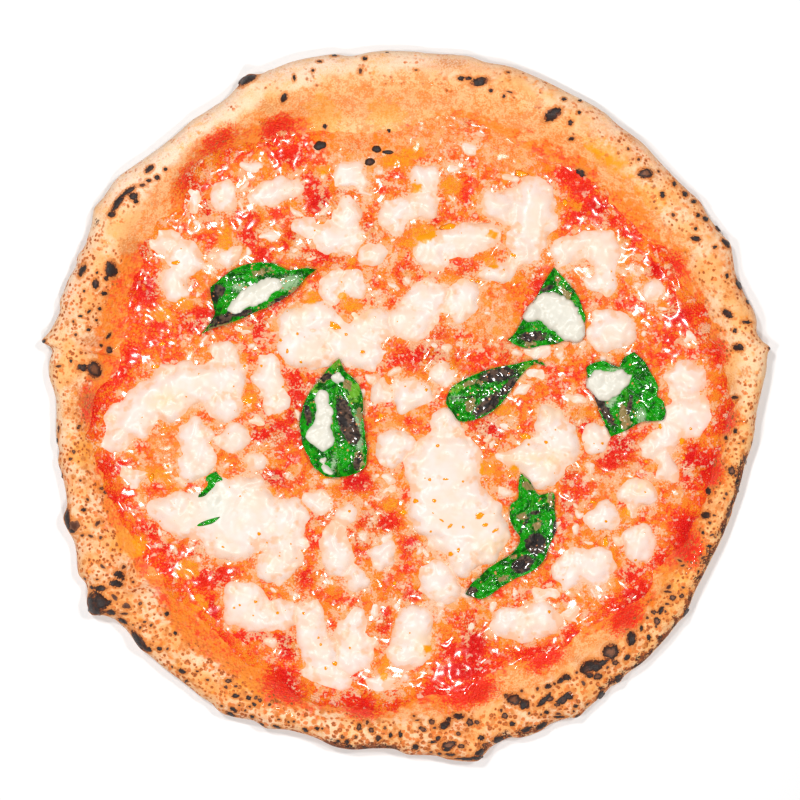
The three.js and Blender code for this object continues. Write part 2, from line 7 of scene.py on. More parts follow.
import bmesh
import bpy
import numpy as np
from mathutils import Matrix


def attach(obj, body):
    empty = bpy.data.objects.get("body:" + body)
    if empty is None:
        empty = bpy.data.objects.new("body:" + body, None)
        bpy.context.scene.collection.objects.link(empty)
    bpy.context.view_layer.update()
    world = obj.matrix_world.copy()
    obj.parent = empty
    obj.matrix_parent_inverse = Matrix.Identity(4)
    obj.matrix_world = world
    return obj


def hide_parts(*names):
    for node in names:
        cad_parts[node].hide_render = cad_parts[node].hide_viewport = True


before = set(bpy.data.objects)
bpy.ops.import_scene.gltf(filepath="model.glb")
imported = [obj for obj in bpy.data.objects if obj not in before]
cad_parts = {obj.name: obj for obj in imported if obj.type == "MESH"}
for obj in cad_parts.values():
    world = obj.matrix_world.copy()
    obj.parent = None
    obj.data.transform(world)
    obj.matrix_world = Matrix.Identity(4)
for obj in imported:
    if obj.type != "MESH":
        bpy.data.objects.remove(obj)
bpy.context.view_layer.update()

# ------------------------------------------------------------------------------ setting
# A white sweep of paper in a dim room under four softboxes, the brightest at the upper left.
# They stand to the sides, so level surfaces keep their full colour and wet slopes glint.
MM = 0.001
ROOM_TINT = (1.0, 0.99, 0.98, 1.0)
ROOM_LIGHT = 0.20
SOFTBOX_SIZE = 0.10
SOFTBOXES = [((-0.30, 0.36, 1.15), 5.1), ((0.40, 0.22, 1.15), 4.6),
             ((0.10, -0.44, 1.15), 4.15), ((-0.46, -0.12, 1.15), 3.95)]
FULL_LIGHT = 1.19
BRIGHTEST = 0.96
FLOOR_HALF = 3.0
LENS = 100.0
SENSOR = 36.0
PICTURE_WIDTH = 352.0
PICTURE_MIDDLE = (-2.73, 2.76)
FOCUS_HEIGHT = 12.0

scene = bpy.context.scene
scene.view_settings.view_transform = "Standard"
scene.view_settings.look = "None"
scene.world = bpy.data.worlds.new("studio")
scene.world.use_nodes = True
room = scene.world.node_tree.nodes["Background"].inputs
room["Color"].default_value = ROOM_TINT
room["Strength"].default_value = ROOM_LIGHT

# Each softbox is a square lamp at a place in metres, aimed at the middle of the pizza.
for number, (place, power) in enumerate(SOFTBOXES):
    lamp = bpy.data.lights.new(f"softbox_{number}", "AREA")
    lamp.size = SOFTBOX_SIZE
    lamp.energy = power
    holder = bpy.data.objects.new(lamp.name, lamp)
    scene.collection.objects.link(holder)
    holder.location = place
    holder.rotation_mode = "QUATERNION"
    holder.rotation_quaternion = holder.location.to_track_quat("Z", "Y")

camera = bpy.data.objects.new("camera", bpy.data.cameras.new("camera"))
camera.data.lens = LENS
camera.data.sensor_width = SENSOR
distance = PICTURE_WIDTH * LENS / SENSOR
camera.location = [MM * c for c in (*PICTURE_MIDDLE, FOCUS_HEIGHT + distance)]
scene.collection.objects.link(camera)
scene.camera = camera


def full_light(red, green, blue):
    """Linear colour of a finish that shows as this red, green and blue, 0 to 255, in full light."""
    shown = np.array([red, green, blue]) / 255.0
    linear = np.where(shown < 0.04045, shown / 12.92, ((shown + 0.055) / 1.055) ** 2.4)
    return (*np.minimum(linear / FULL_LIGHT, BRIGHTEST), 1.0)


def new_finish(name):
    """A material with its node tree and its Principled shader."""
    finish = bpy.data.materials.new(name)
    finish.use_nodes = True
    return finish, finish.node_tree, finish.node_tree.nodes["Principled BSDF"]


paper, _, paper_shader = new_finish("paper")
paper_shader.inputs["Base Color"].default_value = full_light(254, 254, 254)
paper_shader.inputs["Roughness"].default_value = 0.9
paper_mesh = bpy.data.meshes.new("floor")
corners = [(-FLOOR_HALF, -FLOOR_HALF, 0), (FLOOR_HALF, -FLOOR_HALF, 0),
           (FLOOR_HALF, FLOOR_HALF, 0), (-FLOOR_HALF, FLOOR_HALF, 0)]
paper_mesh.from_pydata(corners, [], [(0, 1, 2, 3)])
paper_mesh.materials.append(paper)
floor = bpy.data.objects.new("floor", paper_mesh)
scene.collection.objects.link(floor)

# -------------------------------------------------------------------------------- crust
# The baked dough: one disc, pulled thin in the middle and puffed to a rim that blew up
# unevenly in the oven. It is floury and pale outside, golden on top and stained by the tomato
# within, and blisters on the rim scorched brown and black. The underside is leopard spotted.
MIDDLE = (-0.094, 0.559)
TURN = 2.0 * np.pi
CROWN = 16.0
CROWN_SWING = 1.6
WAIST_SHARE = 0.4
FOOT_INSET = 6.0
FLOOR = 3.4
FLOOR_SWELL = 0.35
RIM_LEAST = 9.0
RIM_OVERLAP = 8.0
RIM_WIDTHS = (18.0, 32.0)
CROWN_SHARES = (0.36, 0.75)
CRUST_COLUMNS = 1120
UNDER_ROWS, FOOT_ROWS, SHOULDER_ROWS, SLOPE_ROWS = 11, 9, 23, 35
SCORCH_REACH = 8
CURVE_STEPS = 12
LATTICE_HEIGHTS = 4096
LATTICE_PRIMES = (73856093, 19349663, 83492791)

CRUST_OUTLINE = [
    (156, 2), (157, 6), (159, 15), (160, 23), (161, 25.2), (157.2, 28.5), (155, 32), (155, 37), (154, 41),
    (150, 48), (146, 57), (145, 62), (143.3, 71.5), (141, 74), (138, 77.5), (134, 83), (130, 90),
    (125, 94.5), (118, 101.5), (110, 110), (105, 115.5), (95, 123), (86, 130.5), (80, 134), (70, 139),
    (60, 144), (50, 148.3), (45, 150), (35, 151.8), (28, 154.3), (20, 155), (10, 155.5), (5, 156.3),
    (-8, 156.3), (-15, 156), (-25, 154.2), (-31, 155), (-40, 154), (-50.5, 151.7), (-60, 148),
    (-65, 146.2), (-70, 146), (-74.5, 140.5), (-80, 135), (-86, 131), (-95, 125.5), (-101, 120),
    (-110, 113), (-120, 106), (-128, 100), (-132, 94), (-135, 90), (-138, 86), (-139, 80), (-140.5, 75),
    (-142, 70), (-145, 66), (-146, 61), (-149, 56), (-151, 51), (-153, 46), (-153, 42), (-155, 37),
    (-158, 32), (-161.2, 28.2), (-157.6, 26), (-156.5, 24), (-157.5, 20), (-158, 16), (-157, 10),
    (-155, 4), (-154.6, -5), (-154.6, -15.5), (-153.5, -20), (-153.9, -24.5), (-152.3, -30),
    (-150.2, -40), (-150, -45), (-151.6, -50), (-149.8, -55), (-147, -60), (-145.8, -65), (-145.3, -70),
    (-144.6, -75), (-141, -80), (-140.9, -88), (-139, -92.7), (-134, -92.9), (-128.5, -95), (-125, -98),
    (-122, -101), (-119.8, -104.5), (-117, -108), (-114.5, -109.8), (-106, -117), (-100, -121.5),
    (-95, -125.5), (-90, -129.5), (-86, -132), (-82, -136), (-76, -138), (-66.5, -139.8), (-62, -142.8),
    (-53, -143.5), (-47, -144.8), (-40, -147), (-32, -150.8), (-23, -152.3), (-15, -151.8), (-5, -152.2),
    (0, -154.2), (14, -155.2), (19, -156.7), (32, -157.3), (34.4, -154.5), (38, -151), (42, -148.8),
    (45, -147.3), (51, -147.2), (60, -144), (64, -141), (72, -138.6), (76, -138.2), (80, -134.5),
    (85, -130), (90, -125), (95, -122.3), (96.5, -120), (105, -113.5), (110, -108.5), (115, -103),
    (120, -96.5), (123, -93.5), (125, -89.5), (128, -82), (131, -76), (135, -68), (140, -58), (144, -47),
    (147.5, -36), (150, -26), (153, -17), (155, -3),
]

# Reach of the tomato from the middle, each 10 degrees anticlockwise from the right.
SAUCE_REACH = [
    145, 141, 138, 136, 129, 131, 129, 129, 131, 127, 124, 132, 138, 144, 137, 138, 133, 131, 142, 141,
    139, 136, 135, 135, 137, 138, 138, 134, 132, 127, 130, 131, 138, 138, 140, 141,
]

# Large blisters that puffed up on the rim: (x, y, radius, rise).
PUFFS = [
    (-135.5, -87.5, 9, 2.4), (-117, -104, 8, 1.8), (-147.5, -51, 7, 1.6), (-69, 143, 7, 1.8),
    (89, -108.5, 8, 1.8), (99, -102.5, 6, 1.2), (49.5, -130.5, 8, 1.6), (19, -149.5, 8, 1.4),
    (61, -129, 7, 1.2), (-157, 27, 6, 1.2), (105, 101.5, 6, 1.2), (-137, 15.5, 6, 1),
    (142.7, -28.8, 5, 1), (32, -153, 7, 1.4), (82, -115, 8, 1.4),
]

# Scorch marks: (x, y, half length, half width, turn in degrees). One without a turn lies
# straight, and one without a width is round. The first are burnt black, the next are black
# rings round a paler top, the third are brown, and the last are faint toasting.
BLACK_MARKS = [
    (-112.5, 103.5, 2.2, 1.4, 35), (-109, 99.7, 1.2), (-112.8, 98.3, 1.3, .8), (-105.4, 103.3, .9),
    (-122, 93.5, 4, 1.2, 35), (-126.5, 88.5, 4.3, 1.5, 55), (-129, 83.5, 1.8, 1.4),
    (-119.5, 91.5, 2.1, 1.6, 20), (-118.3, 89.2, 1.1), (-142, 59, 1.5, 3, -25), (-129.5, 59.5, 2.4, 3.4),
    (-131.5, 55.5, 1.1), (-136, 53, 1.5, 2.2), (-132.5, 49, 1.3, 1), (-135.3, 58, .7), (-141, 50, .7),
    (-134.7, 42.3, .9), (-139, 41, 1.2, .6, 45), (-142.5, 39, 1, .7), (-136, 37.3, .7), (-139.3, 33, .9),
    (-134.8, 26.2, .8), (-131.5, 24.3, 1.5, 1.7), (-131.5, 30.5, 1.7, .7, 55), (-142, 16.5, 2.4, 1.6),
    (-147, 19.2, .8), (-159.6, 28, 1.3, .8, 20), (-70, 143, 4.4, 2.3, 28), (-53.5, 134.5, 1.3, 2, -30),
    (-49, 143.3, .7, 1.4), (-40.8, 146.7, .8), (-38, 151, 1.2, .6), (-31.5, 154.3, 1.4, .9),
    (-18.2, 152.3, 1), (-8.3, 155.8, 1, .7), (-37.7, 114.2, 2.7, 2), (-36, 123.5, 1),
    (-12.7, 113, 2, 1.6), (-15.5, 107.3, 2, 2.1), (-7, 111.8, 2.2, 1.1), (-7.5, 121, .8),
    (32.3, 142, 3.8, 1.8, 15), (27.5, 143.3, 1.6, .9), (24.2, 143.3, 1.5, 1.1), (37.3, 138, .9),
    (43, 135.5, .8), (64.3, 127.5, 4, 2.3, 30), (69.3, 134.3, 1.2, .9), (76.8, 134.3, 1.2, .8),
    (76, 128.4, .9), (72, 123.8, 1.2), (72.8, 117, 1.2, .8), (77.3, 102.7, 2.5, 1.5, -35),
    (112.5, 92.2, 1.2, 1.5), (118, 97.2, 1, 1.4), (122.7, 92.8, 1.5, 1.3), (126.7, 89.5, 1.4, 1),
    (132, 82, 1.6, 1.4), (128.3, 83.3, 1.1), (127, 73, 2.2, 1.2, -15), (127.1, 77.3, .9),
    (135.5, 69.3, 1.1, .8), (141, 71.3, 2.5, 1.6, -50), (137.5, 78, 2.2, 1, -50), (140.8, 56.8, .9, 1.3),
    (146.7, 53, 2.6, 1.5, -60), (140.8, 40, 2.5, 1.4, -40), (149.3, 36.3, 2.2, .8), (150.5, 45.5, 1.2),
    (145.6, 25.3, 2.2, 1.6, -20), (134.8, 18.8, 2.4, 1.7), (144.5, 3.3, 1.4, .8), (160.2, 25, 1, .6),
    (144, 32.5, .9, 1.1), (140.9, -14.5, .7, 1), (133.2, -38, 1.2, 1.8), (131.8, -48.5, 1.9, 1.5, 20),
    (130.4, -56, .6, 1), (133.2, -62, 1.4, .9), (128.3, -73, .6, .8), (144.4, -11.5, .8, 1.2),
    (79.5, -115, 3.4, 2.5, 40), (82.5, -114.3, 3.3, 2.7), (86, -113, 3, 1.3, 25), (80.5, -118.5, 2, 1.3),
    (97, -110.8, 1.8, 1.2, 60), (98.8, -102.4, 2.9, 2.1, 75), (86, -128, 2.8, 1.5, 50),
    (106.5, -102, 1, 1.4), (103.2, -98, .9, 1.3), (111.8, -90, 2, 1, 60), (123.5, -91.5, 3.4, 1.1, 55),
    (94, -121.3, 2.2, 1, 30), (93.2, -119.6, 1.8, 1.1, 15), (70.6, -119.7, 1.9, 1.5),
    (68, -121.3, 1.9, 1, 35), (62.5, -123.7, 1.7, 1, 20), (17, -140.5, 2.7, 1.5, 20),
    (18.8, -138.3, 1.4, 1), (23.2, -137.2, 2.5, 1.2), (33, -145.9, 1.4, 1.3), (14, -146, 1.4, 1.1, 40),
    (11.8, -147.7, 1.7, .7, 10), (4.2, -150, 1.5), (32.5, -152.5, 2.5, 1.6, 30), (31, -155.3, 2.8, 1.3),
    (26, -155.8, 4.6, .9), (40.5, -147.5, 2.5, 1.9, 40), (51.8, -131.3, 2.5, 2.1),
    (60.5, -129.5, 4.1, 1.3, 45), (69, -129, 4.6, 1.5, 40), (71.5, -128, 2.1, 1.4),
    (46.6, -140, 1.4, 1.2), (53, -142.8, 2.5, 1.4, 25), (59.6, -141.4, 3, 1.5, 35), (61.8, -135, 1.2, 1),
    (67.6, -137.4, 2.6, .7), (74.5, -132.3, 1.3, .9), (75.5, -137.3, 1.8, .8, 35),
    (19.5, -153.4, 2.1, .9), (17.8, -151, 1.9, .9), (14.7, -153.4, .9), (45.8, -146.1, 1.2, .6),
    (-56.7, -141.6, 1.9, .9, -25), (-44.1, -142.5, 1.3, 1.1, -40), (-63.5, -140.6, 1.4, .6, -40),
    (-67.6, -136.9, 1.1, .9), (-75.7, -133.8, 2, 1, -35), (-77.2, -136.2, 2.4, 1, -25),
    (-29.8, -147.3, .9), (-25.8, -147.3, 1.1, .9, -20), (-12.1, -145.8, 1.4), (-6.8, -144.5, 1, 1.3),
    (-2.5, -144.2, .9, 1.6), (-38.9, -141.7, 1), (-69, -128.3, 1.4, 1), (-74.7, -127.5, 1.6, 1.1),
    (-66.5, -131.2, 1.2, .9, -20), (-136, -87.5, 4.6, 5.4), (-130.5, -86.5, 1.6, 1.3),
    (-129.5, -91, 2.1, 1.4), (-134, -80.3, 3, 1.3), (-138, -80.3, 1.2, .8), (-124.5, -95, 2.3, 1.2, -20),
    (-117.3, -103.8, 5.6, 2.2, -52), (-112.8, -107.3, 1.3), (-105.2, -91.8, 1, 1.1), (-101.2, -100, .9),
    (-108.2, -106.8, 1.3, 1), (-98.3, -116.8, 1.8, 1.1, -25), (-96.7, -121.4, 1.1, .7, 40),
    (-154, -15.7, .8, 1.6), (-152, -31, .6, 1.5), (-149, -50.5, 1.7, 4.8), (-147, -55.5, 1.9, 1.1),
    (-141.5, -46, 1.3, .9, -10), (-126, -74.5, 2.2, 1.5, -30), (-124.5, -76.5, .8),
    (-127.3, -78.4, 2.7, 1.6, -15),
]
RINGED_MARKS = [
    (-137.3, 15.7, 2.7, 3.7), (105, 101.5, 3.2, 2.2), (142.7, -28.8, 1.7, 1.9),
    (89.8, -108.2, 3.7, 3.2, 45), (84, -119, 2.1, 1.6), (91.8, -113, 1.5, 1.2), (110, -94.7, 1.5, 1.7),
    (108.8, -91, 1.2, 1), (121, -83.7, 1.2, 1.1), (11.3, -139, 1.3, 1.2), (7.3, -142, 1.8, 1, -25),
    (28.1, -139.5, 1.6), (31.2, -139.3, 1.2, 1), (23, -144, 1.2, .9), (18.8, -148.8, 3.4, 1.8, 15),
    (24.3, -149.5, 1.6, 1.1), (43.3, -136.3, 1.5, 1.4), (47.5, -129.5, 3, 2.3), (63, -128.8, 1.7, 1.4),
    (44, -128.2, .9), (-78, -121, 1.6, .9), (-65.8, -128.2, .9), (-64, -129.3, .9), (-27.9, -145.2, .9),
    (-20.5, -141, 1.2, 1.5), (-22, -145.2, .8), (-15.2, -142.2, 1.3, 1.2, -40), (-9.2, -141.4, .8),
    (-116.5, -87, .9), (-143.8, -9.6, 1.1, .7, 70), (-145.9, -20.5, .9), (-147.3, -23.7, .9, .7),
    (-134.1, -36.8, 1.1, .8), (-132.5, -38.5, 1.3, .8), (34.5, -149.2, 1.3, .9), (66.3, -131.5, 1.4, 1),
    (117, -84.5, 1.5, 1.3, 30),
]
BROWN_MARKS = [
    (-115.5, 96.3, 1.8, 1), (-148.8, 36.3, .7), (-145.8, 36.6, .8), (-144.7, 30.8, .9),
    (-152.5, 17, 1.8, .8), (-20, 146.5, 1.1, 1.5), (4.5, 147, 1.1, .5), (45, 146.4, 1.1, .7),
    (45.5, 137.3, 1.9, .6, -15), (10.8, 111.6, .9), (102, 107.7, 1, .9), (97.5, 112.4, .9),
    (111, 102.7, .9), (117.2, 83.4, 1.1), (147.8, -15.8, .8, 1.1), (145.8, -16.8, .9, .4),
    (144.5, -31, .9), (136.5, -36.1, .8, .4), (140.5, -39, .8, 1.2), (139.6, -41, .9, .7),
    (137.1, -44.7, .7, 1), (135.2, -48.4, 1, .7), (133.3, -51.7, .9, 1), (134.2, -57, 1.5, .7, 20),
    (134.7, -62.5, .7), (130.3, -67, 1.5, .8, 20), (120.5, -68.5, 1.4, .6, -30),
    (121.5, -70.5, 1.2, .7, 20), (121.5, -80, 1.2, .7), (115.5, -80, 1.5, 1, 50), (114.5, -87.2, 1.3, .8),
    (115, -82, 2, .8), (149, -24, 3, 1.2, -70), (146, -37, 2, 1.3, -60), (142, -48, 2.4, 1.7, 60),
    (77.8, -122, 1.5, 1.1, -40), (88.3, -115, .9, 1), (99.6, -107.7, .5, .7), (104.5, -105.7, .7, .5),
    (106, -93.5, 1, .8), (113.7, -90.5, .8), (109.6, -97, .8, 1), (57.8, -124.8, .9, 1.1),
    (65.3, -122.6, 1, .8), (75, -117.5, .9, .8), (3.5, -136.8, .9, .6), (5, -138.4, 1.4, .5),
    (2.6, -143, .6), (12.5, -141.5, 1, .8), (11, -152.6, 1, .8), (41.8, -134, .8, 1.2),
    (46.6, -134.7, .6, .8), (38, -139, .6, .9), (51, -126, .9), (54, -135.2, .8, 1), (59.3, -136, .8),
    (67, -135.8, 1.7, .9), (73.7, -134.6, .8), (79.8, -131.8, .9), (-79, -123.7, 1.2, 1),
    (-74.7, -123.4, 1, .8), (-77, -126.8, .7), (-71.5, -126, .6, 1), (-59.8, -131.3, 1.2, .8, 30),
    (-57, -134.3, .6, 1), (-55.8, -137.8, .9, .7), (-51.5, -136.7, .7, 1), (-51.5, -139, .8),
    (-49.1, -138.6, .9, .8), (-40.3, -138.9, .7), (-36.7, -141.6, .8), (-36.8, -134.7, .7),
    (-81, -132.2, 1, .7), (-73, -131.7, 1, .6), (-70.5, -134, .8), (-68.5, -132.2, .8),
    (-17, -139.2, 1, 1.1), (-5, -141.5, .6, 1.2), (-12, -138.5, .7), (-127.7, -84.3, 2, 1.3, -50),
    (-122.5, -88, 2.3, 1.6), (-117, -90.3, .7, .9), (-123.5, -91.5, 2.4, .8), (-119.8, -96.5, .8, .5),
    (-116.5, -97.6, .9), (-114.5, -95, 1.4, .7), (-111.7, -96.5, 1.1, .8, 60), (-104.8, -99, .5, 1),
    (-110.3, -102.2, .7), (-104.5, -106.8, 1.1, .7, 60), (-100.2, -112.2, .7), (-102.7, -115, .8),
    (-91.5, -116.7, .9, .7), (-94, -121.2, .7), (-87, -120.5, 1, .8), (-87.5, -127.8, .5),
    (-91.7, -124, .5), (-153, -10.5, .9, 2), (-142, -23.5, .7), (-153.3, -24.5, .7, 1.3),
    (-141.4, -27.6, .7, .5), (-145.9, -31.4, .7), (-142.9, -33.1, .8), (-141.2, -33.6, .7),
    (-139.8, -41.5, 1.2, .7, -40), (-145.5, -53, 2.7, 3), (-135.5, -52, 1.8, 1.1, 60),
    (-142.2, -57.3, 1.1, .9), (-138.3, -57.5, 1.8, .8, -25), (-134, -58.2, 1), (-144.3, -59, .7, .5),
    (-141.3, -68.8, .7), (-133, -70.8, 2, .8, -40), (-124.2, -71.3, 1.1), (-141.5, -76.5, 1.2, .7, -30),
    (-135.5, -76.5, 1.1, .6), (-120.5, -78.2, .8), (-145, -73.5, .5, 1.2), (44, -1, 1.9, 1.7),
    (74.5, -50, 1.1),
]
FAINT_MARKS = [
    (-138.5, 27.7, 2.2, 1.3), (-146.5, 7, 3.4, 1.8, -60), (140.7, 49, .9, 2), (148.5, 14.7, 1.3),
    (-81.5, -121.5, 1.2), (-105.4, -103, .9), (-112, -104.2, .8), (-97.5, -105.5, 1, 1.6),
    (-95.2, -107.8, .9), (114.3, -94, .9, .7), (114, -97.3, 1, .5), (75.2, -111.8, .9),
    (27.5, -144, 1.8, 1.2), (-122, 70, 3, 2, 40), (-140, 2, 3, 2), (-147, -2, 2, 3), (140, 10, 3, 3),
    (100, 118, 3, 2, -40), (20, 150, 4, 2), (-60, 132, 3, 2, 20),
]


def swell(x, y, size, seed, z=0.0):
    """Smooth random hills from -1 to 1: each corner of a lattice `size` apart has a random
    height, and a point blends its eight corners by an easing curve along each axis."""
    heights = np.random.default_rng(seed).uniform(-1.0, 1.0, LATTICE_HEIGHTS)
    turned = np.broadcast_arrays(0.8 * x - 0.6 * y, 0.6 * x + 0.8 * y, z)
    scaled = [axis / size for axis in turned]
    cells = [np.floor(axis).astype(np.int64) for axis in scaled]
    parts = [axis - cell for axis, cell in zip(scaled, cells)]
    eased = [part * part * (3.0 - 2.0 * part) for part in parts]
    total = np.zeros(turned[0].shape)
    for corner in range(8):
        steps = [(corner >> axis) & 1 for axis in range(3)]
        keys = [(cell + step) * prime for cell, step, prime in zip(cells, steps, LATTICE_PRIMES)]
        shares = [rise if step else 1.0 - rise for rise, step in zip(eased, steps)]
        total += shares[0] * shares[1] * shares[2] * heights[(keys[0] ^ keys[1] ^ keys[2]) % LATTICE_HEIGHTS]
    return total


def closed_curve(points):
    """A smooth closed line through the points. Between two of them it is a cubic whose end
    slopes come from the neighbours, each span weighed by the root of its length."""
    here = np.array(points, float)
    before, after, beyond = np.roll(here, 1, 0), np.roll(here, -1, 0), np.roll(here, -2, 0)
    span = [np.sqrt(np.hypot(*(b - a).T))[:, None] for a, b in
            ((before, here), (here, after), (after, beyond))]
    leave = ((here - before) / span[0] - (after - before) / (span[0] + span[1])
             + (after - here) / span[1]) * span[1]
    arrive = ((after - here) / span[1] - (beyond - here) / (span[1] + span[2])
              + (beyond - after) / span[2]) * span[1]
    t = np.linspace(0.0, 1.0, CURVE_STEPS, endpoint=False)[:, None, None]
    curve = ((2 * t**3 - 3 * t**2 + 1) * here + (t**3 - 2 * t**2 + t) * leave
             + (3 * t**2 - 2 * t**3) * after + (t**3 - t**2) * arrive)
    return curve.transpose(1, 0, 2).reshape(-1, 2)


def reach_of(points):
    """Angles and distances of a closed curve round the middle, for reading by angle."""
    line = closed_curve(points)
    return np.arctan2(line[:, 1], line[:, 0]), np.hypot(line[:, 0], line[:, 1])


outline_table = reach_of(CRUST_OUTLINE)
sauce_angle = np.arange(len(SAUCE_REACH)) * TURN / len(SAUCE_REACH)
sauce_table = reach_of(np.array(SAUCE_REACH)[:, None]
                       * np.column_stack([np.cos(sauce_angle), np.sin(sauce_angle)]))


def rim_at(angle):
    """The rim at an angle: the outline's reach, its width to the flat floor, how far in its
    crown lies, and the crown's height, which rises and falls in two slow waves."""
    outline = np.interp(angle, *outline_table, period=TURN)
    bare = outline - np.minimum(np.interp(angle, *sauce_table, period=TURN), outline - RIM_LEAST)
    width = np.clip(bare + RIM_OVERLAP, *RIM_WIDTHS)
    crown_inset = np.minimum(CROWN_SHARES[0] * width, CROWN_SHARES[1] * bare)
    waves = 0.6 * np.sin(3 * angle + 1.1) + 0.4 * np.sin(7 * angle + 0.4)
    return outline, width, crown_inset, CROWN + CROWN_SWING * waves


def crust_top(x, y):
    """Height of the dough's upper side. Over the rim's shoulder it is a quarter ellipse, down
    the inner slope half a cosine, and soft lumps, wrinkles and puffed blisters ride on both."""
    angle, reach = np.arctan2(y, x), np.hypot(x, y)
    outline, width, crown_inset, crown = rim_at(angle)
    inset = np.maximum(outline - reach, 0.0)
    way = np.clip(1.0 - inset / crown_inset, 0.0, 1.0)
    shoulder = WAIST_SHARE + (1.0 - WAIST_SHARE) * np.sqrt(1.0 - way * way)
    down = np.clip((inset - crown_inset) / (width - crown_inset), 0.0, 1.0)
    floor = FLOOR + FLOOR_SWELL * (np.sin(x / 17 + 0.6) * np.cos(y / 19) + 0.6 * np.sin((x - y) / 26))
    slope = floor + (crown - floor) * (0.5 + 0.5 * np.cos(np.pi * down))
    lumps = 0.45 * (np.sin(23 * angle + 2.3 * inset) + np.sin(37 * angle - 3.1 * inset + 1.7))
    uneven = (0.12 * lumps + 0.75 * swell(x, y, 10.0, 11) + 0.40 * swell(x, y, 4.6, 12)
              + 0.20 * swell(x, y, 2.1, 13) + 0.09 * swell(x, y, 1.0, 14))
    puff = np.zeros(np.shape(x))
    for px, py, radius, rise in PUFFS:
        share = np.minimum(np.hypot(x - px, y - py) / radius, 1.0)
        puff = np.maximum(puff, rise * (1.0 - share * share) ** 2)
    smooth = np.where(inset < crown_inset, crown * shoulder, slope)
    return smooth + (uneven + puff) * (shoulder * (1.0 - down))


def padded_marks(rows):
    """Marks as an array of x, y, half length, half width and turn, with none left out."""
    return np.array([(*row[:3], row[3] if len(row) > 3 else row[2], row[4] if len(row) > 4 else 0.0)
                     for row in rows], float)


def outside_mark(x, y, mark):
    """Distance outside an elliptical mark, less than nothing inside it, in millimetres."""
    turn = np.radians(mark[4])
    along = (x - mark[0]) * np.cos(turn) + (y - mark[1]) * np.sin(turn)
    across = (y - mark[1]) * np.cos(turn) - (x - mark[0]) * np.sin(turn)
    return (np.hypot(along / mark[2], across / mark[3]) - 1.0) * min(mark[2], mark[3])


def scorch(x, y, marks, halo):
    """How burnt a place is by a set of marks: 1 inside one, fading over its halo outside."""
    burnt = np.zeros(x.shape)
    for mark in padded_marks(marks):
        reach = mark[2] + SCORCH_REACH
        near = np.flatnonzero((np.abs(x - mark[0]) < reach) & (np.abs(y - mark[1]) < reach))
        fade = halo * (0.55 + 0.45 * min(mark[2], mark[3]))
        outside = np.maximum(outside_mark(x[near], y[near], mark), 0.0)
        burnt[near] = np.maximum(burnt[near], np.exp(-((outside / fade) ** 2)))
    return burnt


def crust_rings(angle):
    """The crust's rows, as reaches and heights, from the middle of its underside, round the
    foot and the waist by two quarter ellipses, over the crown and down to the middle of the
    floor. Rows without a height lie on the upper side."""
    outline, width, crown_inset, crown = rim_at(angle)
    waist = WAIST_SHARE * crown
    underside = [((outline - FOOT_INSET) * share, 0.0 * angle)
                 for share in np.linspace(0.08, 0.97, UNDER_ROWS)]
    foot = [(outline - FOOT_INSET * (1 - np.sin(t)), waist * (1 - np.cos(t)))
            for t in np.linspace(0.0, TURN / 4, FOOT_ROWS)]
    shoulder = [(outline - crown_inset * (1 - np.cos(t)), None)
                for t in np.linspace(0.0, TURN / 4, SHOULDER_ROWS)[1:]]
    slope = [(outline - crown_inset - share * (width - crown_inset), None)
             for share in np.linspace(0, 1, SLOPE_ROWS)[1:]]
    flat = [((outline - width) * share, None) for share in (0.9, 0.6, 0.3)]
    return [*underside, *foot, *shoulder, *slope, *flat]


columns = np.arange(CRUST_COLUMNS) * TURN / CRUST_COLUMNS
crust_rows = []
for reach, height in crust_rings(columns):
    x, y = reach * np.cos(columns), reach * np.sin(columns)
    if height is None:
        height = crust_top(x, y)
    else:
        crease = height > 0.02
        bulge = 0.45 * swell(x, y, 6.0, 15, z=height) + 0.25 * swell(x, y, 2.4, 16, z=height)
        push = 1.0 + np.where(crease, bulge, 0.0) / np.maximum(reach, 60.0)
        x, y = x * push, y * push
    crust_rows.append(np.column_stack([x, y, height]))


def make_piece(name, points, faces, finish, fields):
    """A smooth mesh piece from points in plan millimetres. `faces` are arrays of corner
    numbers, and `fields` are numbers at the points, kept as attributes."""
    mesh = bpy.data.meshes.new(name)
    placed = (points + np.array([*MIDDLE, 0.0])) * MM
    mesh.from_pydata(placed.tolist(), [], [face for block in faces for face in block.tolist()])
    for label, values in fields.items():
        mesh.attributes.new(label, "FLOAT", "POINT").data.foreach_set("value", values.astype(np.float32))
    mesh.materials.append(finish)
    mesh.shade_smooth()
    piece = bpy.data.objects.new(name, mesh)
    scene.collection.objects.link(piece)
    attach(piece, "root")
    return piece


def lathed(rows, first_pole, last_pole):
    """Points and corner numbers of closed rows of points, joined each to the next, with fans
    that close the first row to one pole and the last row to the other."""
    columns_round = len(rows[0])
    row = 2 + np.arange(len(rows) - 1)[:, None] * columns_round
    here = np.arange(columns_round)[None, :]
    after = (here + 1) % columns_round
    quads = np.stack([row + here, row + after, row + columns_round + after, row + columns_round + here], -1)
    near = np.stack([np.full(columns_round, 0), 2 + after[0], 2 + here[0]], -1)
    last = 2 + (len(rows) - 1) * columns_round
    far = np.stack([np.full(columns_round, 1), last + here[0], last + after[0]], -1)
    return np.vstack([first_pole, last_pole, *rows]), [quads.reshape(-1, 4), near, far]


centre = np.zeros(1)
crust_points, crust_faces = lathed(crust_rows, [0.0, 0.0, 0.0], [0.0, 0.0, crust_top(centre, centre)[0]])
crust_x, crust_y, crust_z = crust_points.T
crust_angle = np.arctan2(crust_y, crust_x)
crust_degrees = np.degrees(crust_angle)
crust_reach = np.hypot(crust_x, crust_y)
crust_inset = rim_at(crust_angle)[0] - crust_reach


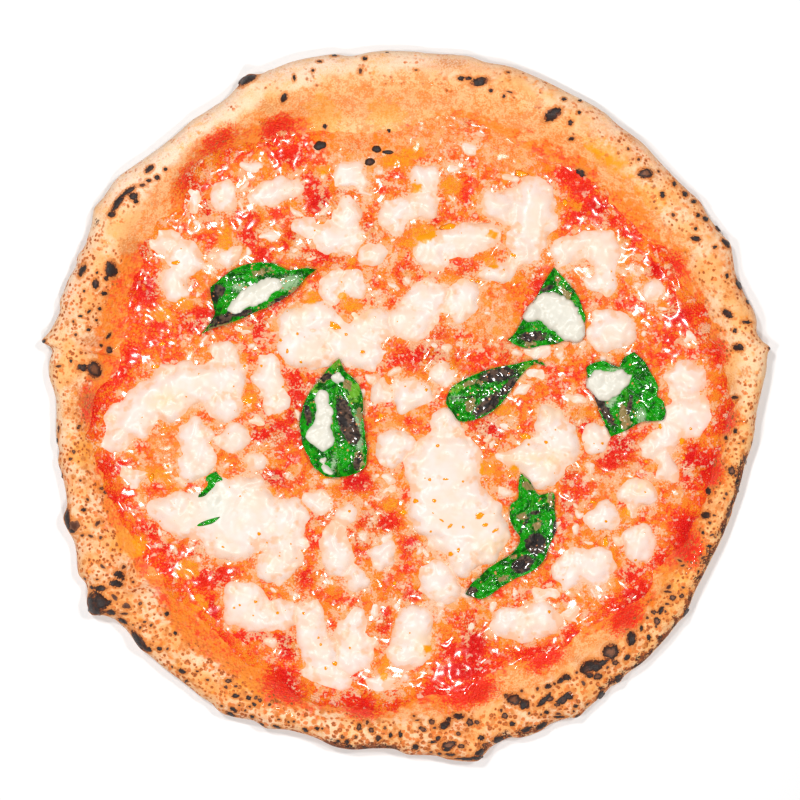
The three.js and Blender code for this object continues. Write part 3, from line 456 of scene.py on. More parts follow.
class Signal:
    """An output in a node tree. Signals join numbers and each other by + - * and /, and each
    sign makes one Math node."""

    def __init__(self, tree, socket):
        self.tree, self.socket = tree, socket

    def __add__(self, other):
        return calc("ADD", self, other)

    def __sub__(self, other):
        return calc("SUBTRACT", self, other)

    def __rsub__(self, other):
        return calc("SUBTRACT", other, self)

    def __mul__(self, other):
        return calc("MULTIPLY", self, other)

    def __rtruediv__(self, other):
        return calc("DIVIDE", other, self)


def feed(node, values):
    """Gives a node's inputs, by name or number, their numbers, colours or signals."""
    for place, value in values.items():
        if isinstance(value, Signal):
            value.tree.links.new(value.socket, node.inputs[place])
        else:
            node.inputs[place].default_value = value


def made(tree, kind, values, output=0, **settings):
    """One output of a new shader node with these inputs and settings."""
    node = tree.nodes.new("ShaderNode" + kind)
    for setting, value in settings.items():
        setattr(node, setting, value)
    feed(node, values)
    return Signal(tree, node.outputs[output])


def calc(operation, first, *rest):
    """The result of one Math node on signals and numbers."""
    tree = first.tree if isinstance(first, Signal) else rest[0].tree
    return made(tree, "Math", dict(enumerate([first, *rest])), operation=operation)


def blend(share, under, over):
    """One colour laid over another by a share from 0 to 1."""
    return made(share.tree, "Mix", {0: share, 6: under, 7: over}, 2, data_type="RGBA")


def layered(colour, *layers):
    """A colour with layers laid over it in turn, each a share and the colour that it brings."""
    for share, over in layers:
        colour = blend(share, colour, over)
    return colour


def ease(value, start, end):
    """Rises gently from 0 to 1 while a value goes from start to end, or falls if end is lower."""
    return made(value.tree, "MapRange", {0: value, 1: start, 2: end}, interpolation_type="SMOOTHSTEP")


def field(tree, name):
    """The number that a piece's points keep under a name."""
    return made(tree, "Attribute", {}, "Fac", attribute_name=name)


def relief(height, strength=1.0):
    """The normal of a surface with relief of a height in millimetres."""
    return made(height.tree, "Bump", {"Strength": strength, "Distance": MM, "Height": height}, "Normal")


def pattern_group(name, kind, output, **grain):
    """A node group that reads a texture in object space: its grain has the input Size, in
    millimetres, and Shift moves to another stretch of the same pattern."""
    group = bpy.data.node_groups.new(name, "ShaderNodeTree")
    for label, start in (("Size", 5.0), ("Shift", 0.0)):
        group.interface.new_socket(label, in_out="INPUT", socket_type="NodeSocketFloat").default_value = start
    group.interface.new_socket("Value", in_out="OUTPUT", socket_type="NodeSocketFloat")
    given = group.nodes.new("NodeGroupInput").outputs
    size, shift = Signal(group, given["Size"]), Signal(group, given["Shift"])
    place = made(group, "TexCoord", {}, "Object")
    scaled = made(group, "VectorMath", {0: place, "Scale": 1.0 / MM / size}, operation="SCALE")
    moved = made(group, "VectorMath", {0: scaled, 1: shift})
    value = made(group, kind, {"Vector": moved, "Scale": 1.0, **grain}, output)
    feed(group.nodes.new("NodeGroupOutput"), {"Value": value})
    return group


MOTTLE = pattern_group("mottle", "TexNoise", "Fac", Detail=2.5, Roughness=0.55)
SPECKS = pattern_group("specks", "TexVoronoi", "Distance")
LUMPS = pattern_group("lumps", "TexNoise", "Fac", Detail=0.4)


def pattern(tree, group, size, shift=0.0):
    """The value of a shared pattern at a size in millimetres."""
    return made(tree, "Group", {"Size": size, "Shift": shift}, "Value", node_tree=group)


def gather(x, y, patches, softness):
    """How much of a place lies in a set of soft elliptical patches (x, y, half length, half
    width, turn): a half on an outline, and 0 and 1 at the softness outside and inside it."""
    total = np.zeros(np.shape(x))
    for patch in padded_marks(patches):
        reach = patch[2] + patch[3] + softness
        near = (np.abs(x - patch[0]) < reach) & (np.abs(y - patch[1]) < reach)
        share = 0.5 - 0.5 * outside_mark(x[near], y[near], patch) / softness
        total[near] = np.maximum(total[near], np.clip(share, 0.0, 1.0))
    return total


# Where flour stayed pale on the outer wall, and where the heat toasted the top.
FLOURY = [
    (-105, 118, 48, 16, 40), (-45, 150, 36, 8, 10), (15, 152, 34, 5), (-150, 50, 26, 7, 68),
    (95, 122, 30, 5, -40), (-70, -140, 26, 4, -20),
]
TOASTED = [
    (137, -38, 30, 10, 72), (140, 60, 26, 7, -62), (60, -131, 26, 9, 25), (20, -146, 24, 10),
    (92, -108, 22, 10, 45), (-134, -70, 22, 9, -60), (-112, -100, 22, 7, -45), (-136, 32, 30, 9, 88),
    (90, 112, 26, 8, -38), (30, 143, 24, 6), (-65, -130, 26, 8, -20), (-146, -30, 24, 6, 85),
    (120, 95, 14, 7, -40), (118, -82, 20, 8, 50),
]
# Puddles of oil that ran orange with tomato.
AMBER_OIL = [
    (-108, 40, 5, 3), (-98, 45, 4, 3), (-80, 74, 3.5, 6), (-42, 47.5, 3.5, 3), (-24, 44, 5.5, 2.6),
    (-28, 48, 2.5, 2), (-69, 3, 3.6, 2.6), (-24, 64, 2.2, 2), (8, 76, 5.6, 4.4), (1, 71.5, 4.6, 2),
    (38.3, 75.3, 2.8, 1.9), (37.5, 63.5, 4.4, 2.5, -50), (20, 97, 5, 4), (4, 96, 3.5, 2.2),
    (3, 112, 6, 3), (-5, 108, 7, 3.4), (-36, 104, 5, 2.4), (76, 88, 2.5, 2), (88, 108, 9, 2, -35),
    (99.5, 56, 2.2, 2.4), (36, -28, 3.6, 3.9), (48, -29, 3, 2.2, -60), (42, -2, 5, 2.6),
    (-7, -44, 3.6, 3), (97, -48, 2.8, 2.6), (-110, -31, 5, 3), (-118, -62, 3.4, 5.4),
    (-97, -73, 5.4, 4.6), (-92, -88, 4.2, 4.2), (-8.7, -115, 2, 3.3), (10, -108, 3, 2),
    (-10, -118, 2.4, 4),
]
# Tomato oil that the dough drank, golden, and red pulp that was pushed up on the rim.
GOLDEN_SPOTS = [
    (-9, 129, 7, 5), (-36, 127, 6, 8, 15), (-8, 117, 6, 4), (89, 108, 9, 4, -45), (107, 92, 5, 4, -45),
    (-142, -20, 4, 7, 5), (-123, -60, 6, 7, 25), (-74, -124, 5, 3, -30), (118, -76, 5, 4, 50),
]
RED_SMEARS = [
    (97, -94, 8, 4.5, 46), (124, -63, 6, 9, 20), (131, -28, 8, 9), (140, -7, 4, 5), (138, 22, 3, 5),
    (127, 36, 5, 8, -15), (117, 60, 5, 6, -25), (29, -127, 12, 5, 12), (62, -112, 8, 4, 28),
    (-53, -124, 9, 6, -25), (-19, -135, 6, 3, -8), (-140, 0, 3, 6), (-94, 101, 8, 4, 45),
    (-82, 117, 7, 3, 35), (-56, 121, 7, 6, 20),
]
# The middle of the honey-coloured side of the rim, and how far it reaches.
GOLDEN_RIM = (130.0, -60.0)
GOLDEN_REACH = 95.0

# Stretches of the outer edge that burnt, each between two angles in degrees.
SINGED_EDGES = [(-106, -86), (-80, -64), (-60, -5), (145, 151.5), (153.5, 156.5), (-128, -124)]

# How far thin wet tomato ran up the rim, how far it stained the dough, and how freckled the rim
# is, by angle: (degrees, millimetres from the middle) twice and (degrees, share).
TOMATO_RUN = [
    (-180, 142), (-170, 140), (-155, 141), (-145, 139), (-130, 141), (-115, 142), (-104, 141), (-97, 138),
    (-91, 132), (-87, 131), (-80, 136), (-75, 132), (-69, 128), (-62, 131), (-53, 128), (-47, 134),
    (-42, 139), (-37, 137), (-35, 130), (-32, 138), (-27, 146), (-22, 138), (-19, 132), (-15, 142),
    (-6, 142), (-1, 146), (4, 140), (12, 141.5), (17, 138), (25, 136), (35, 134.5), (45, 133.5),
    (55, 131), (65, 130.5), (75, 133), (95, 121), (106, 124), (112, 138), (120, 141), (127, 144),
    (133, 142), (138, 136), (144, 132), (149, 139), (160, 138), (170, 138), (176, 141),
]
STAIN_RUN = [
    (-180, 142), (-60, 141), (0, 142), (25, 144), (60, 147), (100, 149), (130, 151), (150, 148),
    (165, 143),
]
FRECKLED = [
    (-180, .6), (-150, .75), (-90, .95), (-50, .85), (-8, .7), (6, .4), (35, .5), (60, .35), (120, .2),
    (148, .3), (156, .75), (170, .6),
]


def around(degrees, rows):
    """What a table by angle says at these angles in degrees."""
    return np.interp(degrees, *zip(*rows), period=360.0)


def singed_edge(x, y, inset):
    """Thin burnt lines along the outer edge, one for each stretch between two angles in
    degrees, broken and thickened by random hills."""
    angle = np.degrees(np.arctan2(y, x))
    torn = 0.9 * swell(x, y, 3.4, 29)
    within = np.maximum.reduce([np.clip(0.25 * np.minimum(angle - low, high - angle) + torn, 0.0, 1.0)
                                for low, high in SINGED_EDGES])
    thick = 5.6 + 4.6 * swell(x, y, 2.2, 24)
    return within * np.clip(1.3 - np.abs(inset - 0.5) / np.maximum(thick, 0.2), 0.0, 1.0)


def burnt_by(*sets):
    """The most that any of some sets of marks scorched the crust, each (marks, halo, share)."""
    return np.maximum.reduce([share * scorch(crust_x, crust_y, marks, halo) for marks, halo, share in sets])


wander = 4.0 * swell(crust_x, crust_y, 14.0, 21) + 2.0 * swell(crust_x, crust_y, 5.0, 22)
# Marks on the crown reach only part of the way down the outer wall.
mark_end = 7.5 + 2.5 * swell(crust_x, crust_y, 3.0, 37)
on_crown = np.where(crust_inset < 3.0, np.clip((crust_z - mark_end) / 3.0, 0.0, 1.0), 1.0)
crust_fields = {
    "burn": on_crown * np.maximum(burnt_by((BLACK_MARKS, 0.3, 1.0), (RINGED_MARKS, 0.3, 1.0)),
                                  singed_edge(crust_x, crust_y, crust_inset)),
    "halo": on_crown * burnt_by((BLACK_MARKS, 0.75, 1.0), (RINGED_MARKS, 0.7, 1.0),
                                (BROWN_MARKS, 0.8, 0.8), (FAINT_MARKS, 1.8, 0.5)),
    "toast": gather(crust_x, crust_y, TOASTED, 7.0),
    "flour": np.maximum(gather(crust_x, crust_y, FLOURY, 5.0),
                        0.7 * np.clip(1.0 - crust_inset / 5.0, 0.0, 1.0)),
    "stain": np.clip((around(crust_degrees, STAIN_RUN) + 0.8 * wander - crust_reach) / 7.0, 0.0, 1.0),
    "smear": np.clip((around(crust_degrees, TOMATO_RUN) + 4.5 + 0.6 * wander - crust_reach) / 6.5, 0.0, 1.0),
    "pulp": gather(crust_x, crust_y, RED_SMEARS, 4.0),
    "amber": gather(crust_x, crust_y, AMBER_OIL, 2.2),
    "golden": gather(crust_x, crust_y, GOLDEN_SPOTS, 4.0),
    "freckles": around(crust_degrees, FRECKLED) * np.clip((crust_reach - 136.0) / 5.0, 0.0, 1.0),
    "gold": np.clip(1.15 - np.hypot(crust_x - GOLDEN_RIM[0], crust_y - GOLDEN_RIM[1]) / GOLDEN_REACH,
                    0.0, 1.0),
}

DOUGH_PALE = full_light(255, 216, 174)
DOUGH_PEACH = full_light(255, 188, 120)
DOUGH_HONEY = full_light(255, 190, 106)
DOUGH_FLOUR = full_light(254, 222, 196)
DOUGH_TOASTED = full_light(240, 136, 60)
DOUGH_SINGED = full_light(222, 132, 62)
DOUGH_FRECKLE = full_light(232, 118, 44)
DOUGH_BROWN = full_light(142, 74, 40)
DOUGH_BLACK = full_light(48, 38, 36)
STAIN_LIGHT = full_light(255, 192, 128)
STAIN_GOLD = full_light(255, 170, 60)
STAIN_STRONG = full_light(255, 140, 58)
BASE_FLOUR = full_light(238, 206, 164)
BASE_SPOT = full_light(128, 80, 50)
SAUCE_ORANGE = full_light(255, 136, 26)
SAUCE_BRIGHT = full_light(255, 96, 8)
SAUCE_RED = full_light(252, 44, 0)
SAUCE_PULP = full_light(248, 32, 0)
OIL_AMBER = full_light(255, 162, 4)


def ragged_share(tree, name, grain, spread, low, high):
    """A field's share of the surface, with its edge made ragged by a grain."""
    return ease(field(tree, name) + (grain - 0.5) * spread, low, high)


def tomato_colour(tree, orange=0.484):
    """Crushed tomato: orange and red in grains of three sizes, more orange by the number given,
    and reddest by the field pulp."""
    broad, medium = pattern(tree, MOTTLE, 8.0, 2.0), pattern(tree, MOTTLE, 2.6, 7.0)
    fine = pattern(tree, MOTTLE, 0.95, 13.0)
    tone = broad * 0.38 + medium * 0.34 + fine * 0.28
    return layered(SAUCE_ORANGE,
                   (ease(tone, orange - 0.035, orange + 0.01), SAUCE_BRIGHT),
                   (ease(tone, orange + 0.015, orange + 0.06), SAUCE_RED),
                   (ragged_share(tree, "pulp", fine, 1.8, 0.22, 0.66), SAUCE_PULP))


def stain_colour(tree):
    """The orange of dough that soaked up tomato, grainy from its crumb."""
    medium, crumb = pattern(tree, MOTTLE, 2.2, 15.0), pattern(tree, MOTTLE, 0.75, 19.0)
    tone = medium * 0.32 + crumb * 0.42 + pattern(tree, MOTTLE, 5.5, 27.0) * 0.26
    return blend(ease(tone, 0.45, 0.56), STAIN_LIGHT, STAIN_STRONG)


crust_finish, tree, shader = new_finish("baked dough")
broad, medium = pattern(tree, MOTTLE, 13.0), pattern(tree, MOTTLE, 3.2, 5.0)
fine, dust = pattern(tree, MOTTLE, 0.8, 9.0), pattern(tree, MOTTLE, 0.38, 11.0)
stained = ease(field(tree, "stain") + (medium - 0.5) * 0.9, 0.15, 0.85)
smeared = ragged_share(tree, "smear", medium, 2.4, 0.20, 0.80)
pulpy = ragged_share(tree, "pulp", fine, 1.6, 0.30, 0.62)

# Freckles are the cells of two Voronoi patterns, crowded where the field says so.
crowded = ease(field(tree, "freckles") + (pattern(tree, MOTTLE, 7.0, 31.0) - 0.5) * 1.6, 0.25, 0.60)
speck = (calc("MINIMUM", pattern(tree, SPECKS, 3.0, 3.0), pattern(tree, SPECKS, 2.2, 17.0))
         + (fine - 0.5) * 0.35 - ease(field(tree, "freckles"), 0.72, 0.95) * 0.09)
darkened = ease(speck, 0.27, 0.19) * crowded * ease(pattern(tree, MOTTLE, 5.0, 47.0), 0.44, 0.54)
dotted = ease(pattern(tree, SPECKS, 1.9, 41.0), 0.34, 0.18)
dotted = dotted * ease(pattern(tree, MOTTLE, 7.0, 33.0), 0.42, 0.58)

# Scorch marks have ragged edges, and the underside is floury with brown spots.
ragged = (fine - 0.5) * 1.5
halo = field(tree, "halo") + ragged
burnt = ease(field(tree, "burn") + ragged, 0.74, 0.92)
place = made(tree, "TexCoord", {}, "Object")
beneath = ease(made(tree, "SeparateXYZ", {0: place}, "Z"), 1.6 * MM, 0.3 * MM)
base_spots = ease(broad * 0.6 + medium * 0.4, 0.50, 0.66)
colour = layered(
    blend(ease(broad, 0.40, 0.62), DOUGH_PEACH, DOUGH_PALE),
    (ease(medium, 0.50, 0.68) * 0.5, DOUGH_HONEY),
    (field(tree, "flour") * ease(medium + dust, 0.70, 1.15), DOUGH_FLOUR),
    (field(tree, "gold") * 0.6, DOUGH_HONEY),
    (field(tree, "toast") * ease(medium, 0.30, 0.70) * 0.75, DOUGH_TOASTED),
    (stained * 0.85, stain_colour(tree)),
    (smeared * 0.84, tomato_colour(tree, 0.525)),
    (pulpy * 0.85, tomato_colour(tree, 0.46)),
    (ragged_share(tree, "golden", medium, 1.8, 0.20, 0.60) * 0.5, STAIN_GOLD),
    (ragged_share(tree, "amber", medium, 1.6, 0.35, 0.80) * 0.85, OIL_AMBER),
    (ease(speck, 0.37, 0.27) * crowded * 0.85, DOUGH_FRECKLE),
    (darkened * 0.85, DOUGH_BROWN),
    (ease(speck, 0.12, 0.05) * crowded * 0.6, DOUGH_FRECKLE),
    (dotted * 0.35, DOUGH_SINGED),
    (ease(halo, 0.25, 0.70) * 0.8, DOUGH_SINGED),
    (ease(halo, 0.95, 1.15), DOUGH_BROWN),
    (burnt, blend(ease(medium, 0.35, 0.60), DOUGH_BLACK, DOUGH_BROWN)),
    (beneath, blend(base_spots, BASE_FLOUR, BASE_SPOT)),
)
grained = made(tree, "VectorMath", {0: colour, "Scale": (dust + fine) * 0.39 + 0.71}, operation="SCALE")
lumpy = ((pattern(tree, LUMPS, 1.3, 7.0) - 0.5) * (field(tree, "smear") * 0.45)
         + (pattern(tree, LUMPS, 0.55, 17.0) - 0.5) * 0.7 * field(tree, "pulp"))
feed(shader, {
    "Base Color": grained,
    "Roughness": 0.85 - stained * 0.45,
    "Specular IOR Level": 0.25,
    "Coat Weight": smeared * 0.25 + pulpy * 0.5,
    "Coat Roughness": 0.07,
    "Normal": relief(fine * 0.13 + dust * 0.05 + lumpy + medium * 0.3),
})

crust = make_piece("crust", crust_points, crust_faces, crust_finish, crust_fields)
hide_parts("dough")

# --------------------------------------------------------------------- scorched blisters
# Small bubbles of dough that rose out of the rim and burnt first: thin charred caps, matt
# black with a brown foot, or sunk and paler in the middle where the cap fell in.
CAP_RINGS = (0.42, 0.76, 1.0)
CAP_FOOT = 0.7
CAP_SINK = 0.12
CAP_TUCK = 0.25


def caps(marks, sectors, rise, top, seed, sunk=0.0, ragged=0.16):
    """Small irregular caps, one on each mark. A cap's edge is its ellipse pushed in and out by
    three random waves; its height falls from the middle as the root of one less the square of
    the way out, less a dip where it is sunk, over the surface that `top` gives."""
    rows = padded_marks(marks)
    draw = np.random.default_rng(seed)
    angle = np.arange(sectors) * TURN / sectors
    phases = draw.uniform(0.0, TURN, (len(rows), 3, 1))
    sizes = draw.uniform(0.3, 1.0, (len(rows), 3, 1)) * ragged
    waves = (sizes * np.sin(np.array([2, 3, 5])[None, :, None] * angle + phases)).sum(1)
    ways = np.array([0.0, *CAP_RINGS])[None, :, None]
    reach = ways * (1.0 + waves[:, None, :])
    along = reach * np.cos(angle) * rows[:, 2, None, None]
    across = reach * np.sin(angle) * rows[:, 3, None, None]
    turn = np.radians(rows[:, 4])[:, None, None]
    x = rows[:, 0, None, None] + along * np.cos(turn) - across * np.sin(turn)
    y = rows[:, 1, None, None] + along * np.sin(turn) + across * np.cos(turn)
    height = rise * np.minimum(rows[:, 2], rows[:, 3])[:, None, None] ** 0.6
    profile = np.sqrt(1.0 - 0.97 * ways**2) - sunk * np.maximum(1.0 - 2.2 * ways**2, 0.0)
    z = top(x, y) + height * profile - CAP_SINK - CAP_TUCK * (ways == 1.0)
    middle = np.stack([x[:, 0, :1], y[:, 0, :1], z[:, 0, :1]], -1)
    rings = np.stack([x[:, 1:], y[:, 1:], z[:, 1:]], -1).reshape(len(rows), -1, 3)
    points = np.concatenate([middle, rings, middle - [0.0, 0.0, CAP_FOOT]], 1)
    each = points.shape[1]
    here = np.arange(sectors)
    after = (here + 1) % sectors
    last = 1 + 2 * sectors
    fans = np.concatenate([np.stack([0 * here, 1 + here, 1 + after], 1),
                           np.stack([0 * here + each - 1, last + after, last + here], 1)])
    bands = np.concatenate([np.stack([start + here, start + sectors + here, start + sectors + after,
                                      start + after], 1) for start in (1, 1 + sectors)])
    offsets = (np.arange(len(rows)) * each)[:, None, None]
    way = np.tile(np.concatenate([[0.0], np.repeat(CAP_RINGS, sectors), [1.0]]), len(rows))
    faces = [(fans[None] + offsets).reshape(-1, 3), (bands[None] + offsets).reshape(-1, 4)]
    return points.reshape(-1, 3), faces, way


def joined(*parts):
    """Several sets of points, faces and a field as one, with which set each point is of."""
    starts = np.cumsum([0, *(len(points) for points, _, _ in parts)])
    faces = [block + start for (_, blocks, _), start in zip(parts, starts) for block in blocks]
    kinds = np.repeat(np.arange(float(len(parts))), np.diff(starts))
    return np.vstack([part[0] for part in parts]), faces, np.concatenate([part[2] for part in parts]), kinds


SMALL = 2.2
BROWN_LEAST = 0.8
blister_points, blister_faces, blister_ways, blister_kinds = joined(
    caps([mark for mark in BLACK_MARKS if mark[2] < SMALL], 12, 0.42, crust_top, 31),
    caps([mark for mark in BLACK_MARKS if mark[2] >= SMALL], 22, 0.42, crust_top, 32, ragged=0.22),
    caps(RINGED_MARKS, 14, 0.38, crust_top, 33, sunk=0.7),
    caps([mark for mark in BROWN_MARKS if mark[2] >= BROWN_LEAST], 12, 0.26, crust_top, 34),
)
CHAR_BLACK = full_light(50, 40, 38)
CHAR_BROWN = full_light(92, 52, 36)
CHAR_TAN = full_light(150, 92, 60)

# The third set of caps is ringed and the fourth is only toasted.
blister_finish, tree, shader = new_finish("charred dough")
fine, mixed = pattern(tree, MOTTLE, 0.9, 4.0), pattern(tree, MOTTLE, 2.6, 14.0)
ringed, toasted = (calc("COMPARE", field(tree, "kind"), kind, 0.3) for kind in (2.0, 3.0))
way = field(tree, "way") + (fine - 0.5) * 0.7
feed(shader, {
    "Base Color": layered(
        blend(ease(mixed, 0.50, 0.74), CHAR_BLACK, CHAR_BROWN),
        (ease(way, 0.62, 1.10), CHAR_BROWN),
        (ringed * ease(way, 0.75, 0.20) * 0.8, CHAR_TAN),
        (toasted, blend(ease(way, 0.30, 1.0), CHAR_BROWN, CHAR_TAN))),
    "Roughness": fine * 0.4 + 0.35,
    "Specular IOR Level": 0.3,
    "Normal": relief(fine * 0.35),
})

blisters = make_piece("scorched_blisters", blister_points, blister_faces, blister_finish,
                      {"way": blister_ways, "kind": blister_kinds})

# ------------------------------------------------------------------------- tomato sauce
# Crushed tomato spread by ladle, thicker in red swathes of pulp, thin and orange where the
# dough shows through, wet with oil. The melting mozzarella ran milky into it, so where the
# cheese was laid comes first.
SAUCE_DEPTH = 1.6
SAUCE_OVERLAP = 0.35
SAUCE_FLOOR = 0.45
SAUCE_COLUMNS = 680
SAUCE_ROWS = 120
SAUCE_UNDER_ROWS = 11
SAUCE_WANDER = 2.4
SAUCE_WANDER_RADIUS = 60.0
CHEESE_BLEND = 2.5
CHEESE_SEAM = 0.9
CHEESE_SHOULDER = 7.5
CHEESE_MIXING = 1.6
SHRED_COUNT = 150
SHRED_TRIES = 5000
SHRED_SPAN = 126.0
SHRED_DEPTH = 1.3

# Pools of melted slices, each (thickness, lumps), with a lump as (x, y, half length, half
# width, turn).
MOZZARELLA_POOLS = [
    (2.4, [(-58, 95, 12, 6, 10)]),
    (1.8, [(-81, 92, 5.5, 8)]),
    (2, [(-24, 105, 6, 5), (-23, 98.5, 6, 3.5)]),
    (2.2, [(-25.5, 84, 5, 7.5), (-32, 74, 12, 6.5, -10), (-46, 80, 4.5, 4)]),
    (2.2, [(-14, 67, 7, 6)]),
    (2.2, [(-33.5, 52.5, 4.8, 8), (-22.5, 54, 6.5, 6)]),
    (2.6, [(-39, 38, 8, 7), (-51, 36, 5, 6), (-48, 26, 8, 8), (-40, 23, 8, 7), (-25, 28, 9, 8.5),
           (-14, 36, 10, 7), (-18, 21, 7, 6)]),
    (2.2, [(-61.5, 13, 6.5, 10), (-57, 1, 5, 5)]),
    (2.9, [(-130, -15, 7.5, 7.5), (-123, -8, 8, 8), (-116, 1, 8.5, 8.5), (-106, 7, 9, 9), (-96, 9, 9, 9),
           (-88, 10, 8, 8), (-78, 13, 7, 7), (-80, 23, 5.5, 4), (-80, 0, 7, 6.5), (-104, -3, 5.5, 5)]),
    (2.6, [(-93, -14, 7.5, 7), (-91, -23, 6, 7), (-96, -29, 4.5, 4.5)]),
    (2.4, [(-76, -14, 8, 6.5)]),
    (2.4, [(-107, 72.5, 7, 5.5, 20), (-97, 66, 7.5, 7), (-103, 54, 7, 8)]),
    (1.9, [(-80, 66, 7, 5, 30)]),
    (2.3, [(9, 101, 6, 6), (-5, 84, 7, 8), (8, 89, 7.5, 6.5)]),
    (2.9, [(57, 86, 10, 15), (40, 89, 8, 7), (52, 70, 9, 6, -45), (41, 59, 7, 5)]),
    (2.6, [(27, 74, 15, 7, 5), (11, 66, 7, 8)]),
    (2.5, [(26, 46, 7.5, 11), (8, 48, 9, 8), (2, 36, 11, 7, -15)]),
    (2.3, [(69.5, 66, 5, 6), (76, 71, 6, 4), (89, 68, 7, 10), (87, 54, 6.5, 6)]),
    (2.6, [(91, 33, 11, 9)]),
    (2.6, [(124, 12, 8.5, 7.5), (126, -5, 11, 8), (115, -13, 5, 6), (109, -19, 5.5, 5.5),
           (115, -28, 5.5, 7)]),
    (1.8, [(109, 50, 5.5, 4.5, -45)]),
    (1.8, [(58, 24, 5.5, 4)]),
    (2, [(16, 14, 6, 5)]),
    (2.4, [(2, 4, 9, 7.5)]),
    (2.2, [(-11.5, 6, 4.5, 6)]),
    (2.6, [(-6, -18, 8, 9)]),
    (3, [(17, -7, 5.5, 6), (18, -20, 14, 8), (10, -27, 9, 9), (22, -30, 11, 9), (16, -40, 12, 8),
         (27, -42, 8, 8), (10, -48, 9, 8), (22, -54, 14, 11), (37, -52, 8, 9), (35, -61, 9, 7),
         (26, -69, 7, 6)]),
    (2.5, [(13, -76, 8, 8), (18, -84, 7, 5)]),
    (2, [(-66, -24.5, 5.5, 4.5)]),
    (3, [(-104, -48, 11, 7, -10), (-92, -49, 11, 9), (-80, -45, 9, 12), (-76, -57, 12, 8),
         (-66, -48, 12, 10), (-50, -50, 6, 8.5), (-57, -56, 8, 6), (-52, -64, 6, 8), (-58, -73, 7.5, 6.5),
         (-79, -64, 8, 5), (-69, -35.5, 6, 4)]),
    (2, [(-120, -31.5, 5.5, 5.5)]),
    (2.1, [(-39, -43.5, 5.5, 5.5)]),
    (2.1, [(-26, -49, 5, 6.5, -20)]),
    (2.5, [(-31.5, -61, 6, 9), (-31, -70, 6, 5), (-21, -78, 5, 5.5)]),
    (2.4, [(-11, -66, 6, 6.5)]),
    (2.7, [(-72, -87, 8.5, 9), (-67, -95, 9, 5.5), (-54, -93, 5.5, 6)]),
    (2.6, [(-44, -94, 5.5, 7), (-42, -103, 6, 8), (-38, -111, 7.5, 7.5), (-36, -120, 7, 6),
           (-30, -124, 6, 4.5)]),
    (2.4, [(-26, -115, 6, 6), (-20, -112, 6, 5), (-22, -105, 8, 6), (-23, -96, 6, 5.5)]),
    (1.8, [(-11, -124, 6, 4.5)]),
    (2.8, [(3, -95, 7, 7), (4, -104, 7, 8.5), (0, -112, 8, 5)]),
    (2.5, [(44, -97, 6.5, 6), (52, -99, 5, 4.5), (60, -94, 9.5, 8)]),
    (2.5, [(73, -73, 7, 9), (84, -72, 8, 9)]),
    (2.9, [(55, -24, 14.5, 7), (64, -8, 6, 8.5), (70, -17, 7.5, 8), (62, -31, 8, 6)]),
    (2.2, [(85, -15, 6, 6.5)]),
    (2.3, [(103, -39, 8, 7)]),
    (2.3, [(88, -50, 8, 6.5)]),
    (2.6, [(103, -62, 7.5, 8)]),
]

# Shreds too small to count as pools.
MOZZARELLA_SHREDS = [
    (28, 114, 4.5, 3), (127, 29.5, 4.5, 3.5), (93, -61, 3, 2.5), (62, -83, 6, 3.5), (-10, -58, 3, 2),
    (75, -55, 3, 2), (44, -8, 3, 2), (13.5, 26, 2, 1.5), (57, 14, 5, 2.5), (87, -79, 5, 2),
    (-70, 34, 5, 2), (-8, -33, 3, 3), (52, 8, 4, 2, 30), (-46, -60, 4, 3), (-88, 104, 4, 2.5, 30),
    (-70, 106, 5, 2.5), (-94, 90, 3, 6), (20, 105, 4, 2, 20), (-60, 76, 4, 2.5), (76, 2, 4, 2.5),
    (44, -38, 3, 2), (-14, -90, 3, 4), (-60, -106, 4, 2.5), (74, -92, 4, 2.5), (30, -98, 3, 2),
    (-8, -38, 3, 2), (-66, -6, 3, 2),
]

